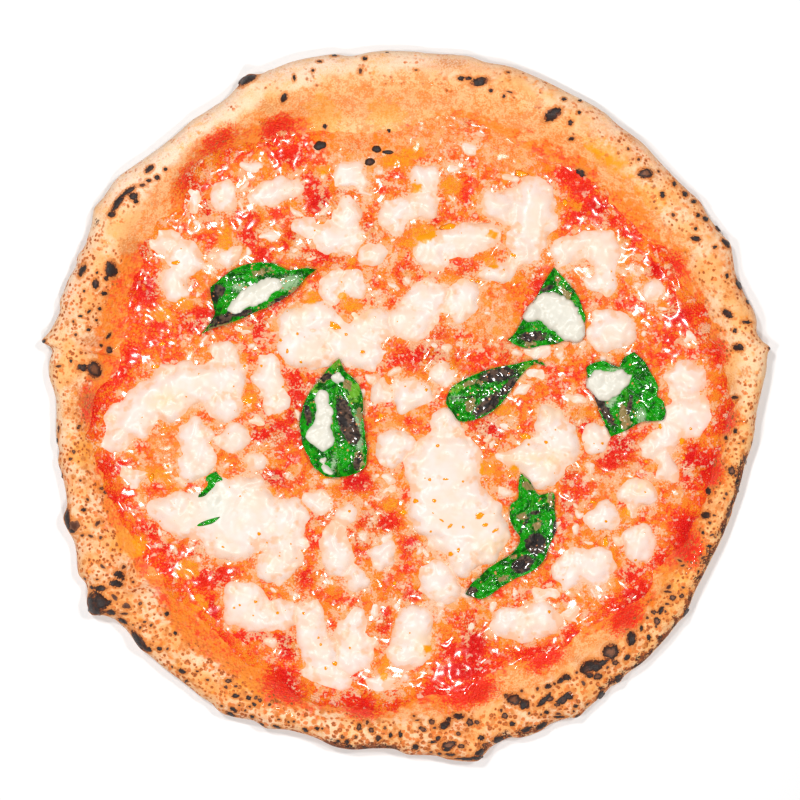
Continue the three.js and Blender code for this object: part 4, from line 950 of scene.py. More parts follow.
# Swathes of thick red pulp, and grainy places where the dough shows through thin sauce. The pulp patches that
# hug the left of the second and third leaves, and those just below the first, fourth and fifth, are painted
# shadow of those leaves.
PULP_AND_LEAF_SHADOWS = [
    (-92, 100, 4, 8), (-88, 87, 4, 6), (-72, 85, 8, 4), (-62, 120, 10, 3, 10), (-54, 125, 4, 3),
    (-52, 110, 8, 5), (-86, 117, 5, 3), (-42, 97, 6, 5), (-37, 89, 8, 6), (-30, 95, 5, 3),
    (-22, 115, 4, 2.5), (-69, 75, 5, 7), (-64, 67, 5, 4), (-50, 73, 5, 8), (-90, 38, 9, 6),
    (-110, 35, 5, 2.5), (-115, 68, 5, 6), (-115, 52, 8, 8), (-122, 22, 4, 6), (-128, 14, 5, 4),
    (-133, 6, 4, 6), (-66, 35, 5, 7), (-48, 8, 5, 10), (-38, 66, 12, 4), (-16, 78, 4, 5), (0, 57, 4, 4),
    (13, 82, 3), (10, 22, 14, 6), (15, 32, 4, 3.5), (46, 22, 4, 6), (58, 53, 3, 5), (49, 62, 4, 2.5),
    (54, 57, 2.5), (26, 58, 3), (30, 129, 5, 3), (28, 125, 3), (72, 103, 6, 5), (78, 96, 6, 5),
    (85, 88, 8, 6), (90, 82, 6, 4), (77, 84, 5, 4), (98, 75, 6, 5), (112, 60, 8, 6), (118, 50, 4, 6),
    (122, 40, 9, 6), (133, 32, 6, 4), (117, 29, 5, 3), (137, 9, 4, 5), (-137, -4, 5, 7),
    (-128, -28, 10, 5), (-128, -40, 5, 6), (-124, -46, 6, 2.5, -40), (-113, -56, 6, 5), (-104, -63, 8, 4),
    (-92, -63, 6, 5), (-103, -72, 7, 4), (-90, -76, 5), (-86, -90, 5, 6), (-70, -103, 16, 4),
    (-52, -107, 6, 7), (-52, -122, 8, 6), (-18, -133, 12, 3, 10), (-25, -135, 6, 3), (-20, -121, 5, 3),
    (-10, -96, 5, 6), (-58, -32, 10, 4), (-60, -12, 12, 6), (-50, -5, 4, 10), (-22, -34, 9, 5),
    (-12, -52, 10, 6), (-38, -50, 6, 2.5), (-20, -60, 4, 7), (-70, -67, 3), (-45, -76, 7, 4),
    (-83, -76, 8, 6), (36, -9, 9, 4), (38, -15, 5, 4), (72, -32, 5, 4), (72, -43, 4, 5), (78, -10, 5, 5),
    (95, -17, 8, 5), (92, -24, 9, 5), (130, -26, 9, 10), (125, -36, 6, 4), (124, -55, 6, 9),
    (124, -66, 5, 5), (114, -70, 7, 5), (100, -75, 6, 5), (104, -85, 8, 6), (98, -91, 10, 4),
    (30, -105, 6, 12), (25, -118, 12, 5), (14, -126, 8, 4), (20, -110, 5), (60, -110, 14, 4),
    (75, -103, 6, 4), (3, -84, 8, 3), (3, -62, 5, 5), (140, -2, 6, 5),
]
# Deeper red pulp; three of these, below the fourth and fifth leaves and left of the second, are painted
# shadow of the leaves.
DEEP_PULP_AND_LEAF_SHADOWS = [
    (130, -26, 8, 9), (124, -54, 5, 8), (-52, -107, 5, 6), (25, -118, 11, 4.5), (30, -106, 5, 9),
    (102, -86, 9, 5), (-20, -134, 11, 2.6, 8), (-58, -32, 8, 3), (-22, -34, 7, 4), (36, -10, 8, 3),
    (95, -18, 7, 4), (-89, 90, 3, 9), (122, 40, 7, 4.5), (112, 60, 6, 4), (-115, 52, 5, 6),
    (-137, -4, 3.5, 5), (-86, -91, 4, 4), (-38, 90, 5, 4), (85, 88, 5, 4), (12, 22, 8, 4),
    (-52, -124, 6, 4), (-49, -4, 3, 7),
]
THIN_SAUCE = [
    (45, 112, 18, 10, -20), (8, 118, 24, 10), (-25, 114, 14, 10, 15), (0, 130, 42, 12),
    (-50, 128, 18, 8, 20), (-119, 92, 11, 14, -45), (40, 38, 10, 14), (127, 62, 8, 16, 30),
    (92, -35, 7, 6), (-106, -22, 8, 11, 30), (60, 116, 20, 8, -20), (96, 96, 14, 8, -40),
    (-132, 40, 7, 20), (-112, -86, 12, 7, -45), (-20, 108, 16, 9), (46, 108, 12, 7),
]


def pool_inset(lumps, x, y, blending=CHEESE_BLEND):
    """Distance inside lumps that melted together: the largest of their insets, raised where
    several are near by the logarithm of their summed exponentials."""
    insets = np.array([-outside_mark(x, y, lump) for lump in padded_marks(lumps)])
    largest = insets.max(0)
    return largest + blending * np.log(np.exp((insets - largest) / blending).sum(0))


def cheese_inset(x, y, reach=12.0):
    """Distance inside the cheese, negative outside; the thickness there, which is the mean of
    the pools' own, each weighed by the exponential of its inset; and how close the seam
    between two pools is, from 0 to 1."""
    flat_x, flat_y = np.ravel(x), np.ravel(y)
    best = np.full(flat_x.shape, -reach)
    second = best.copy()
    total, shares = np.full(flat_x.shape, 2e-6), np.full(flat_x.shape, 1e-6)
    for thickness, lumps in [*MOZZARELLA_POOLS, *((SHRED_DEPTH, [shred]) for shred in MOZZARELLA_SHREDS)]:
        rows = padded_marks(lumps)
        spans = rows[:, 2:4].max(1, keepdims=True)
        low, high = (rows[:, :2] - spans - reach).min(0), (rows[:, :2] + spans + reach).max(0)
        near = np.flatnonzero((flat_x > low[0]) & (flat_x < high[0]) & (flat_y > low[1]) & (flat_y < high[1]))
        inset = pool_inset(lumps, flat_x[near], flat_y[near])
        if thickness != SHRED_DEPTH:
            second[near] = np.maximum(second[near], np.minimum(best[near], inset))
        best[near] = np.maximum(best[near], inset)
        share = np.exp(np.minimum(inset, 9.0) / CHEESE_MIXING)
        total[near] += share * thickness
        shares[near] += share
    seam = np.exp(-(((best - second) / CHEESE_SEAM) ** 2))
    return [values.reshape(np.shape(x)) for values in (best, total / shares, seam)]


def sauce_level(x, y):
    """Height of the sauce without its lumps, its inset from its own edge, and how far that edge
    is from the middle. It thins out towards the edge and runs just under the crust there."""
    angle, reach = np.arctan2(y, x), np.hypot(x, y)
    round_x, round_y = SAUCE_WANDER_RADIUS * np.cos(angle), SAUCE_WANDER_RADIUS * np.sin(angle)
    edge = np.interp(angle, *sauce_table, period=TURN) + SAUCE_WANDER * (
        swell(round_x, round_y, 5.0, 41) + 0.6 * swell(round_x, round_y, 1.7, 42))
    inset = edge - reach
    filled = 1.0 - np.exp(-((np.maximum(inset, 0.0) / 8.0) ** 1.4))
    return crust_top(x, y) + (-SAUCE_OVERLAP + (SAUCE_DEPTH + SAUCE_OVERLAP) * filled), inset, edge


# Random crumbs of cheese round the pools.
draw = np.random.default_rng(40)
spots = draw.uniform(-SHRED_SPAN, SHRED_SPAN, (SHRED_TRIES, 2))
from_cheese = cheese_inset(*spots.T)[0]
spots = spots[(from_cheese < -1.6) & (from_cheese > -5.5) & (sauce_level(*spots.T)[1] > 12.0)][:SHRED_COUNT]
shred_sizes = draw.uniform(0.9, 2.4, SHRED_COUNT)
MOZZARELLA_SHREDS += zip(*spots.T, shred_sizes, shred_sizes * draw.uniform(0.45, 0.9, SHRED_COUNT),
                         draw.uniform(0.0, 180.0, SHRED_COUNT))


def sauce_top(x, y):
    """Height of the lumpy sauce: two sizes of random hills, the smaller one folded at zero
    into the creases between pieces of tomato."""
    level, inset, _ = sauce_level(x, y)
    lumps = 0.42 * swell(x, y, 7.0, 43) + 0.38 * (0.4 - np.abs(swell(x, y, 3.6, 44)))
    return level + lumps * np.clip(inset / 8.0, 0.0, 1.0)


def sauce_floor(x, y):
    """Height of the sauce's hidden underside, a little way into the dough."""
    return crust_top(x, y) - SAUCE_FLOOR


sauce_turn = np.arange(SAUCE_COLUMNS) * TURN / SAUCE_COLUMNS
sauce_edge = sauce_level(np.cos(sauce_turn), np.sin(sauce_turn))[2]
sauce_rows = []
for height_at, shares in ((sauce_floor, np.linspace(0.08, 0.98, SAUCE_UNDER_ROWS)),
                          (sauce_top, np.linspace(1.0, 0.02, SAUCE_ROWS))):
    for share in shares:
        x, y = share * sauce_edge * np.cos(sauce_turn), share * sauce_edge * np.sin(sauce_turn)
        sauce_rows.append(np.column_stack([x, y, height_at(x, y)]))
sauce_poles = [[0.0, 0.0, height_at(centre, centre)[0]] for height_at in (sauce_floor, sauce_top)]
sauce_points, sauce_faces = lathed(sauce_rows, *sauce_poles)
sauce_x, sauce_y, _ = sauce_points.T
stray = 1.6 * swell(sauce_x, sauce_y, 5.0, 46) + 0.9 * swell(sauce_x, sauce_y, 2.2, 47)
to_cheese = cheese_inset(sauce_x, sauce_y)[0] + stray
sauce_fields = {
    "milk": np.clip(1.0 + to_cheese / 4.2, 0.0, 1.2)
    * np.clip(0.85 + 0.9 * swell(sauce_x, sauce_y, 13.0, 48), 0.0, 1.0),
    "near": np.clip(1.0 + to_cheese / 9.0, 0.0, 1.0),
    # Beside the leaves, pulp and deep are painted shadow of the leaves.
    "pulp": gather(sauce_x, sauce_y, [*PULP_AND_LEAF_SHADOWS, *RED_SMEARS], 4.0),
    "deep": gather(sauce_x, sauce_y, DEEP_PULP_AND_LEAF_SHADOWS, 4.0),
    "thin": gather(sauce_x, sauce_y, THIN_SAUCE, 6.0),
    "dry": np.clip(1.0 - sauce_level(sauce_x, sauce_y)[1] / 11.0, 0.0, 1.0),
    "amber": gather(sauce_x, sauce_y, AMBER_OIL, 2.2),
}

SAUCE_DEEP = full_light(236, 8, 0)
SAUCE_MILK_AND_GLINT = full_light(255, 212, 178)
SAUCE_CLOUD = full_light(255, 194, 146)
SAUCE_OILY = full_light(255, 150, 6)
SAUCE_PINK = full_light(255, 140, 48)

# Milk clouds the sauce near the cheese, and curdles or turns to oil in places of its own; the white curds are
# partly painted glints on the wet sauce.
sauce_finish, tree, shader = new_finish("crushed tomato")
broad, medium = pattern(tree, MOTTLE, 8.0, 2.0), pattern(tree, MOTTLE, 2.6, 7.0)
fine = pattern(tree, MOTTLE, 0.95, 13.0)
near, pulp = field(tree, "near"), field(tree, "pulp")
clouded = near * 0.55 + (pattern(tree, MOTTLE, 5.0, 35.0) - 0.5) * 2.4 + (fine - 0.5) * 1.6
oily = near * 0.5 + (pattern(tree, MOTTLE, 6.0, 55.0) - 0.5) * 3.0
# White curd patches, partly milk curds and partly painted glints of the wet sauce.
curds_and_painted_glints = ease(medium, 0.56, 0.64) * ease(broad, 0.42, 0.58)
fading = ragged_share(tree, "dry", fine, 1.3, 0.70, 1.15) * (1.0 - pulp)
dry = calc("MAXIMUM", calc("MAXIMUM", field(tree, "thin"), field(tree, "dry")) - pulp, 0.0)
feed(shader, {
    "Base Color": layered(
        tomato_colour(tree),
        # Deep red, which is painted shadow where it lies beside the leaves.
        (ragged_share(tree, "deep", medium, 1.2, 0.40, 0.80), SAUCE_DEEP),
        (ragged_share(tree, "thin", medium, 2.0, 0.35, 0.85) * 0.8, stain_colour(tree)),
        (ragged_share(tree, "milk", fine, 2.6, 0.30, 0.75) * 0.6, SAUCE_PINK),
        (ragged_share(tree, "milk", fine, 1.8, 0.75, 1.10) * 0.85, SAUCE_MILK_AND_GLINT),
        (ease(clouded, 0.45, 0.66) * 0.78, SAUCE_CLOUD),
        (ease(oily, 0.55, 0.80) * 0.55, SAUCE_OILY),
        (curds_and_painted_glints * 0.7, SAUCE_MILK_AND_GLINT),
        (fading * 0.6, stain_colour(tree)),
        (ragged_share(tree, "amber", medium, 1.4, 0.36, 0.76) * 0.92,
         blend(ease(fine, 0.40, 0.62), OIL_AMBER, SAUCE_ORANGE))),
    "Roughness": dry * 0.35 + 0.35,
    "Specular IOR Level": 0.15,
    "Coat Weight": 0.5 - dry * 0.35,
    "Coat Roughness": 0.12,
    "Normal": relief(pattern(tree, LUMPS, 0.55, 7.0) * 0.50 + pattern(tree, LUMPS, 1.7, 8.0) * 0.24
                     + (pattern(tree, LUMPS, 0.55, 17.0) - 0.5) * 0.6 * pulp),
})

sauce = make_piece("tomato_sauce_layer", sauce_points, sauce_faces, sauce_finish, sauce_fields)
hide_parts("tomato_sauce")

# Bubbles of the floor that rose through the thin sauce and burnt.
SAUCE_MARKS = [
    (-38, 115, 3, 2.2, 15), (-13, 113.4, 2.1, 1.7), (-8, 112, 2.6, 1), (-16, 107.7, 2.3, 1.8, 10),
    (-36, 124, 1, .8), (-7.6, 122, .9, .6),
]
bubble_points, bubble_faces, bubble_ways, bubble_kinds = joined(
    caps(SAUCE_MARKS, 20, 0.8, lambda x, y: sauce_level(x, y)[0] + 0.25, 36, ragged=0.07))
bubbles = make_piece("scorched_bubbles", bubble_points, bubble_faces, blister_finish,
                     {"way": bubble_ways, "kind": bubble_kinds})

# --------------------------------------------------------------------------- mozzarella
# Slices of fresh mozzarella that melted into soft white pools and ran together. Each pool is
# domed, thick in the middle, pinkish at its ragged fringe where tomato shows through.
CHEESE_PITCH = 0.58
CHEESE_SPAN = 146.0
CHEESE_DIVE = 1.2
CHEESE_SKIRT = 1.5
CHEESE_LEAST = -0.9


def pushed(x, y, broad, fine, seed):
    """Places pushed about by two sizes of random hills, each given as (reach, size)."""
    return [axis + (broad[0] * swell(x, y, broad[1], seed + k) + fine[0] * swell(x, y, fine[1], seed + 2 + k))
            for k, axis in enumerate((x, y))]


def cheese_surface(x, y):
    """Top of the cheese, its inset and its seams. The outline is pushed about; inside it the
    top is a parabola up to the pool's thickness, with soft lumps, and is cut by grooves at the
    seams; outside it the surface dives under the sauce."""
    inset, depth, seam = cheese_inset(*pushed(x, y, (1.9, 6.5), (0.95, 3.5), 51))
    inset = inset + 0.45 * swell(x, y, 2.1, 55)
    way = np.clip(inset / CHEESE_SHOULDER, 0.0, 1.0)
    dome = 0.9 * depth * (1.0 - (1.0 - way) ** 2)
    soft = (0.30 * swell(x, y, 8.5, 56) + 0.07 * swell(x, y, 3.5, 57)) * way
    groove = 0.2 * depth * seam * way
    dive = CHEESE_DIVE * np.minimum(inset, 0.0)
    return sauce_level(x, y)[0] + dome + soft - groove + dive, inset, seam


def cut_sheet(x, y, z, inset, least):
    """The squares of a grid of points that lie wholly further in than `least`: their points,
    their corner numbers, and which points of the grid they are."""
    number = np.arange(x.size).reshape(x.shape)
    corner_sets = np.stack([number[:-1, :-1], number[:-1, 1:], number[1:, 1:], number[1:, :-1]], -1)
    used, cells = np.unique(corner_sets[(inset.ravel()[corner_sets] > least).all(-1)], return_inverse=True)
    return np.column_stack([axis.ravel()[used] for axis in (x, y, z)]), [cells.reshape(-1, 4)], used


side = np.arange(-CHEESE_SPAN, CHEESE_SPAN + CHEESE_PITCH, CHEESE_PITCH)
x, y = np.meshgrid(side, side)
z, inset, seam = cheese_surface(x, y)
cheese_points, cheese_faces, used = cut_sheet(x, y, z, inset, CHEESE_LEAST)

# Peach stains where oil and tomato soaked in, and where a buried basil leaf greys the cheese.
PEACH_CHEESE = [
    (4, -8, 5, 5), (70, -2, 7, 3), (12, -107, 6, 5), (103, -36, 5, 4), (-106, 2, 6, 4), (26, 58, 6, 3),
    (-62, -10, 5, 3, 30), (40, -62, 6, 4, 20), (-20, 40, 6, 4, 10), (30, 88, 5, 4), (-50, 44, 5, 3),
    (60, -24, 8, 3), (88, 46, 6, 3),
]
GREY_CHEESE = [(-84, -43, 7, 10, 10), (-88, -36, 5, 6)]
cheese_fields = {
    "inset": inset.ravel()[used],
    "seam": seam.ravel()[used],
    "peach": gather(*cheese_points[:, :2].T, PEACH_CHEESE, 3.0),
    "grey": gather(*cheese_points[:, :2].T, GREY_CHEESE, 4.0),
    "amber": gather(*cheese_points[:, :2].T, AMBER_OIL, 1.4),
}
CHEESE_WHITE = full_light(251, 229, 218)
CHEESE_CREAM = full_light(251, 222, 200)
CHEESE_FRINGE = full_light(255, 196, 154)
CHEESE_PINKISH = full_light(255, 218, 196)
CHEESE_PEACH = full_light(255, 214, 160)
CHEESE_GREY = full_light(230, 229, 214)


def cheese_finish(name):
    """A finish of melted cheese from the fields inset, seam, peach, grey and amber: glossy, and
    wrinkled in places."""
    finish, tree, shader = new_finish(name)
    broad, medium = pattern(tree, MOTTLE, 9.0, 21.0), pattern(tree, MOTTLE, 2.2, 23.0)
    inset = field(tree, "inset") + (medium - 0.5) * 6.0
    melted = inset - ease(pattern(tree, MOTTLE, 7.0, 61.0), 0.50, 0.68) * 4.0
    wrinkled = ease(pattern(tree, MOTTLE, 6.0, 29.0), 0.50, 0.62)
    wrinkles = pattern(tree, LUMPS, 1.6, 23.0) * 0.10 + pattern(tree, LUMPS, 5.0, 24.0) * 0.40 - 0.25
    feed(shader, {
        "Base Color": layered(
            blend(ease(broad, 0.35, 0.65), CHEESE_WHITE, CHEESE_CREAM),
            (ease(inset, 3.4, 0.6) * 0.55, CHEESE_PINKISH),
            (ease(melted, 2.4, -1.6) * 0.8, CHEESE_FRINGE),
            (field(tree, "seam") * ease(medium, 0.35, 0.60) * 0.6, CHEESE_FRINGE),
            (field(tree, "peach") * ease(medium, 0.25, 0.60) * 0.7, CHEESE_PEACH),
            (field(tree, "grey") * 0.85, CHEESE_GREY),
            (ragged_share(tree, "amber", medium, 1.2, 0.35, 0.75), OIL_AMBER)),
        "Roughness": medium * 0.24 + 0.20,
        "Specular IOR Level": 0.4,
        "Normal": relief(wrinkles * (wrinkled * 0.30 + 0.04)),
    })
    return finish


def close_beneath(piece, drop):
    """Closes a sheet out of sight: each open edge goes straight down by the drop, and the loop
    that it makes there is filled."""
    sheet = bmesh.new()
    sheet.from_mesh(piece.data)
    rim = [edge for edge in sheet.edges if edge.is_boundary]
    extruded = bmesh.ops.extrude_edge_only(sheet, edges=rim)["geom"]
    lowered, loops = ([part for part in extruded if isinstance(part, kind)]
                      for kind in (bmesh.types.BMVert, bmesh.types.BMEdge))
    bmesh.ops.translate(sheet, verts=lowered, vec=(0.0, 0.0, -drop * MM))
    bmesh.ops.holes_fill(sheet, edges=loops, sides=0)
    bmesh.ops.recalc_face_normals(sheet, faces=sheet.faces)
    sheet.to_mesh(piece.data)
    sheet.free()
    piece.data.shade_smooth()


mozzarella = make_piece("mozzarella", cheese_points, cheese_faces, cheese_finish("melted mozzarella"),
                        cheese_fields)
close_beneath(mozzarella, CHEESE_SKIRT)
on_sauce = [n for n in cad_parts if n.startswith("mozzarella_") and "basil" not in n]
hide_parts(*sorted(on_sauce))

# -------------------------------------------------------------------------------- basil
# Whole basil leaves laid on before baking: thin, cupped and quilted between their veins, glossy
# green where wet, dried brown and black where the fire caught them. A leaf is ruled between its
# two edges, each read from one end of the leaf to the other; `curl` is how far its edges rise.
LEAF_STEPS = 110
LEAF_ACROSS = 36
LEAF_THICKNESS = 0.4
LEAF_CUP = 8.0
LEAF_LIFT = 0.8
BURIED_LIFT = 0.5
LEAF_RESTS = ((0, 0), (2, 0), (-2, 0), (0, 2), (0, -2))
LEAF_SIDES = {
    "basil_1": (3.2, [(-39.3, 59.8), (-46, 60.4), (-52, 59.6), (-57, 62), (-62, 63), (-70, 62.2),
                      (-75, 60.5), (-80, 57.5), (-84, 54), (-86.5, 51.5), (-85.5, 46), (-84.5, 41),
                      (-86, 37), (-90.8, 31.2)],
                     [(-39.3, 59.8), (-44, 56.5), (-48.5, 51), (-54, 47), (-60, 43.8), (-66, 41.2),
                      (-72, 38.5), (-79, 35.6), (-85, 33.8), (-90.8, 31.2)]),
    "basil_2": (2.6, [(-29.5, 20.5), (-33.5, 17), (-36.5, 13.5), (-40.5, 8.5), (-44, 3), (-46.8, -6),
                      (-46.2, -15), (-43.5, -22), (-40.5, -27.5), (-36, -31), (-30, -32)],
                     [(-29.5, 20.5), (-27.5, 16), (-24.5, 13), (-20.5, 8), (-19, 2), (-19, -5),
                      (-18, -12), (-17.2, -20), (-18, -27), (-22, -30.2), (-30, -32)]),
    "basil_3": (1.6, [(65.5, 60.9), (61.5, 55), (58, 48), (53.5, 41), (51, 36.5), (47.5, 31), (45.3, 29),
                      (50, 26)],
                     [(65.5, 60.9), (70, 56), (75, 49.5), (77.8, 43.5), (79.2, 37.5), (75, 32),
                      (68, 27.6), (60, 26.4), (54, 25), (50, 26)]),
    "basil_4": (1.8, [(62, 17), (59.5, 19.4), (56.5, 20), (50, 18.6), (42, 17), (33, 14.6), (25, 11),
                      (19.4, 6.8), (17.6, 1)],
                     [(62, 17), (58.5, 18.4), (54.5, 16.8), (50.5, 12.5), (47, 7.5), (42, .5), (36, -4.2),
                      (29.5, -6.8), (23.5, -7.2), (20.5, -3.5), (17.6, 1)]),
    "basil_5": (2, [(101, 23.4), (96.5, 21), (94, 16.5), (91, 17.4), (87, 19.4), (80.2, 17), (80.6, 11),
                    (83, 4), (86.5, -5), (90.8, -14)],
                   [(101, 23.4), (105, 19.5), (109, 13.5), (111.6, 8.5), (111, 4), (114, 1.5),
                    (113.8, -6.4), (109, -7), (104, -7.6), (97.5, -11.2), (90.8, -14)]),
    "basil_6": (1.8, [(50.8, -30.3), (49.6, -36), (49.8, -41), (46.4, -44), (45.8, -49), (47.5, -54),
                      (50.5, -59), (47.5, -65), (41, -69.3), (36, -72.5), (32.5, -76), (29, -79),
                      (26.2, -83.6)],
                     [(50.8, -30.3), (55, -34), (58.6, -39.6), (65, -39), (65.8, -46), (66.4, -55),
                      (63.5, -62), (61, -68.5), (56, -73.5), (49, -76.6), (42, -80.6), (34, -85.6),
                      (26.2, -83.6)]),
}
# The seventh leaf lies under the cheese, and is bared in a few spots.
BURIED_LEAF = ([(-84, -29.5), (-88.5, -32), (-88, -35.5), (-91.6, -39.6), (-93, -45), (-96.2, -53.4)],
               [(-84, -29.5), (-79.5, -36), (-78, -43), (-82, -49.3), (-88, -53.6), (-96.2, -53.4)])
BARED_LEAF = [
    (-85.6, -31.4, 3.6, 2, -10), (-87.6, -35.4, 1.7, 3.2, -25), (-90.4, -39.2, 2.2, 1.1, 20),
    (-86, -51.4, 6.4, 1.1, 17),
]

# Places on all the leaves: dried brown, burnt black, dried tan, fresh lime green, and a thin
# film of cheese.
LEAF_BROWN = [
    (-80.5, 38.3, 6.5, 2.1, 22), (-71.5, 40.6, 4, 1.4, 12), (-82.5, 50.5, 2.2, 3), (-56, 46.6, 4, 1, 30),
    (-27, -6, 3.4, 9, 8), (-24.5, -11, 4, 7, 20), (40.5, 13.4, 8.2, 2.9, 12), (36, .2, 8.5, 3, 38),
    (45.5, 8.6, 6, 1.7, 48), (56, 30.2, 6.5, 2.3, 4), (62.3, 51.6, 3, 1.1, 20), (86.4, 0, 11.8, 1.9, -58),
    (99, -.2, 1.3, 4, -12), (57.5, -61.5, 4.6, 4.8), (51.5, -70.5, 5, 3.4, 30), (66.3, -56, 1.3, 5.5),
    (57, -47.6, 2.4, 1), (29.3, -82.3, 2.6, 1.8, 30), (-35.6, 12.2, 2.2, 1.2, 30), (-22, -26, 1.5, 2.5),
    (-43.4, -4.5, 1.6, 4, 10),
]
LEAF_BLACK = [
    (-84.5, 47.5, 1.6, 3, 10), (-74, 40.4, 3, .9, 12), (-28, -7, 1.8, 3, 10), (-30.2, -1, .8, 4),
    (38, 1.5, 6, .8, 38), (44, 11.5, 6, .6, 28), (56, 31, 5, .5, 6), (58, -60, 3.2, 3.4, 20),
    (50, -71, 3, 1.9, 20), (-33.5, 12.4, 2.2, .7, 20), (84.5, 4, 5, .5, -58), (-20.5, -23, 1, 2.4),
    (53, -52, 4, .6, 60), (28, 3.6, 6, .5, 5), (57.5, -66, 3, .7, 70),
]
LEAF_TAN = [
    (-64, 58.8, 4.2, 1.2, 18), (-57.5, 45.4, 4.2, 1.1, 24), (-83, 34.6, 6, 1.1, 12),
    (-50, 50.2, 3, 1, 40), (-36, 11.6, 3.4, 1.6, 35), (-20.5, -3, 1.3, 3), (-26, 9, 1.5, 2.4, 20),
    (-21, -24.5, 2.4, 4), (29.5, 9.6, 4.6, 1.2, 12), (28.6, .2, 2.4, 3.2), (70.8, 49, 4, 1.2, -55),
    (55, 27.6, 2.6, 1.7), (96.6, -5.4, 2.6, 6, 12), (52, -49.2, 2.6, 1.4), (54, -36, 3.2, 1.6, -45),
    (48, -67, 1.6, 1.2), (43, -77, 2.2, 1.2), (64, -42, 1.1, 2.4), (58, -53.5, 3, 1.4, 40),
    (67, 55.5, 1.4, 2),
]
LEAF_LIME = [
    (-31, 18.4, 3, 3.4), (-23, 5.4, 3, 4.6, -20), (-40.5, 8, 1.6, 2.6, 30), (23, 7.4, 3.6, 1.6, 20),
    (53, 16.4, 3.4, 1.6, 10), (53, -34, 1.6, 2.6, -20), (63.5, -41, 1.6, 2.6), (-88, 33, 2.4, 1.2, 10),
]
LEAF_FILM = [
    (-52.5, 54, 6.4, 3.2, 18), (-74, 52, 3, 1.8), (-21.5, -10, 2, 7), (-20.5, -17, 1.6, 4),
    (91, 1.5, 1.6, 4.5, -35), (104, -5, 2.2, 3.6), (47.5, -56.5, 1.4, 2.6, 30), (30, -76, 2.4, 1.6, 30),
    (22.5, 3.2, 3, 1.2), (-32, -26, 1.2, 4, -10), (92, 15.5, 4, .9, 8),
]
LEAF_PATCHES = {"brown": (LEAF_BROWN, 1.6), "black": (LEAF_BLACK, 1.6), "tan": (LEAF_TAN, 1.6),
                "lime": (LEAF_LIME, 2.0), "film": (LEAF_FILM, 1.6)}


def fall_along(side):
    """A side as a smooth open line of evenly spaced points: the closed curve through it and
    back, cut at its far end and read off by length."""
    line = closed_curve([*side, *side[-2:0:-1]])[: CURVE_STEPS * (len(side) - 1) + 1]
    run = np.concatenate([[0.0], np.cumsum(np.hypot(*np.diff(line, axis=0).T))])
    even = np.linspace(0.0, run[-1], LEAF_STEPS)
    return np.column_stack([np.interp(even, run, line[:, 0]), np.interp(even, run, line[:, 1])])


def outline_inset(sides, x, y):
    """Distance inside a leaf's outline, negative outside: the least distance to its straight
    edges, with the sign of the even-odd rule."""
    line = np.vstack([fall_along(sides[0])[::3], fall_along(sides[1])[::-3]])
    nearest = np.full(np.shape(x), 1e9)
    crossings = np.zeros(np.shape(x), int)
    for (ax, ay), (bx, by) in zip(line, np.roll(line, -1, 0)):
        length = max((bx - ax) ** 2 + (by - ay) ** 2, 1e-9)
        t = np.clip(((x - ax) * (bx - ax) + (y - ay) * (by - ay)) / length, 0.0, 1.0)
        nearest = np.minimum(nearest, np.hypot(x - ax - t * (bx - ax), y - ay - t * (by - ay)))
        if ay != by:
            crossings += ((ay > y) != (by > y)) & (x < ax + (bx - ax) * (y - ay) / (by - ay))
    return np.where(crossings % 2 == 1, nearest, -nearest)


def bed(x, y):
    """Height of what a leaf or a drop lies on: the sauce, or the cheese where there is some."""
    surface, inset, _ = cheese_surface(x, y)
    return np.maximum(sauce_level(x, y)[0], np.where(inset > 0.0, surface, 0.0))


def leaf_top(curl, sides, x, y):
    """Height of a leaf over its bed: its edges curl up in slow waves by the square of the way
    from the middle, and soft folds run across it."""
    to_edge = 1.0 - np.clip(outline_inset(sides, x, y) / LEAF_CUP, 0.0, 1.0)
    wave = 0.75 + 0.25 * np.sin(x / 5.0 + y / 7.0)
    folds = 0.45 * swell(x, y, 5.5, 61) + 0.22 * swell(x, y, 2.3, 62)
    under = np.mean([bed(x + dx, y + dy) for dx, dy in LEAF_RESTS], 0)
    return under + LEAF_LIFT + curl * wave * to_edge**2 + folds


def buried_top(x, y):
    """Height of the leaf under the cheese: on the sauce, but just out of the cheese where it
    is bared."""
    bared = np.clip(gather(x, y, BARED_LEAF, 1.2) * 1.6, 0.0, 1.0)
    level = sauce_level(x, y)[0]
    return level + BURIED_LIFT + bared * np.maximum(bed(x, y) - level, 0.0)


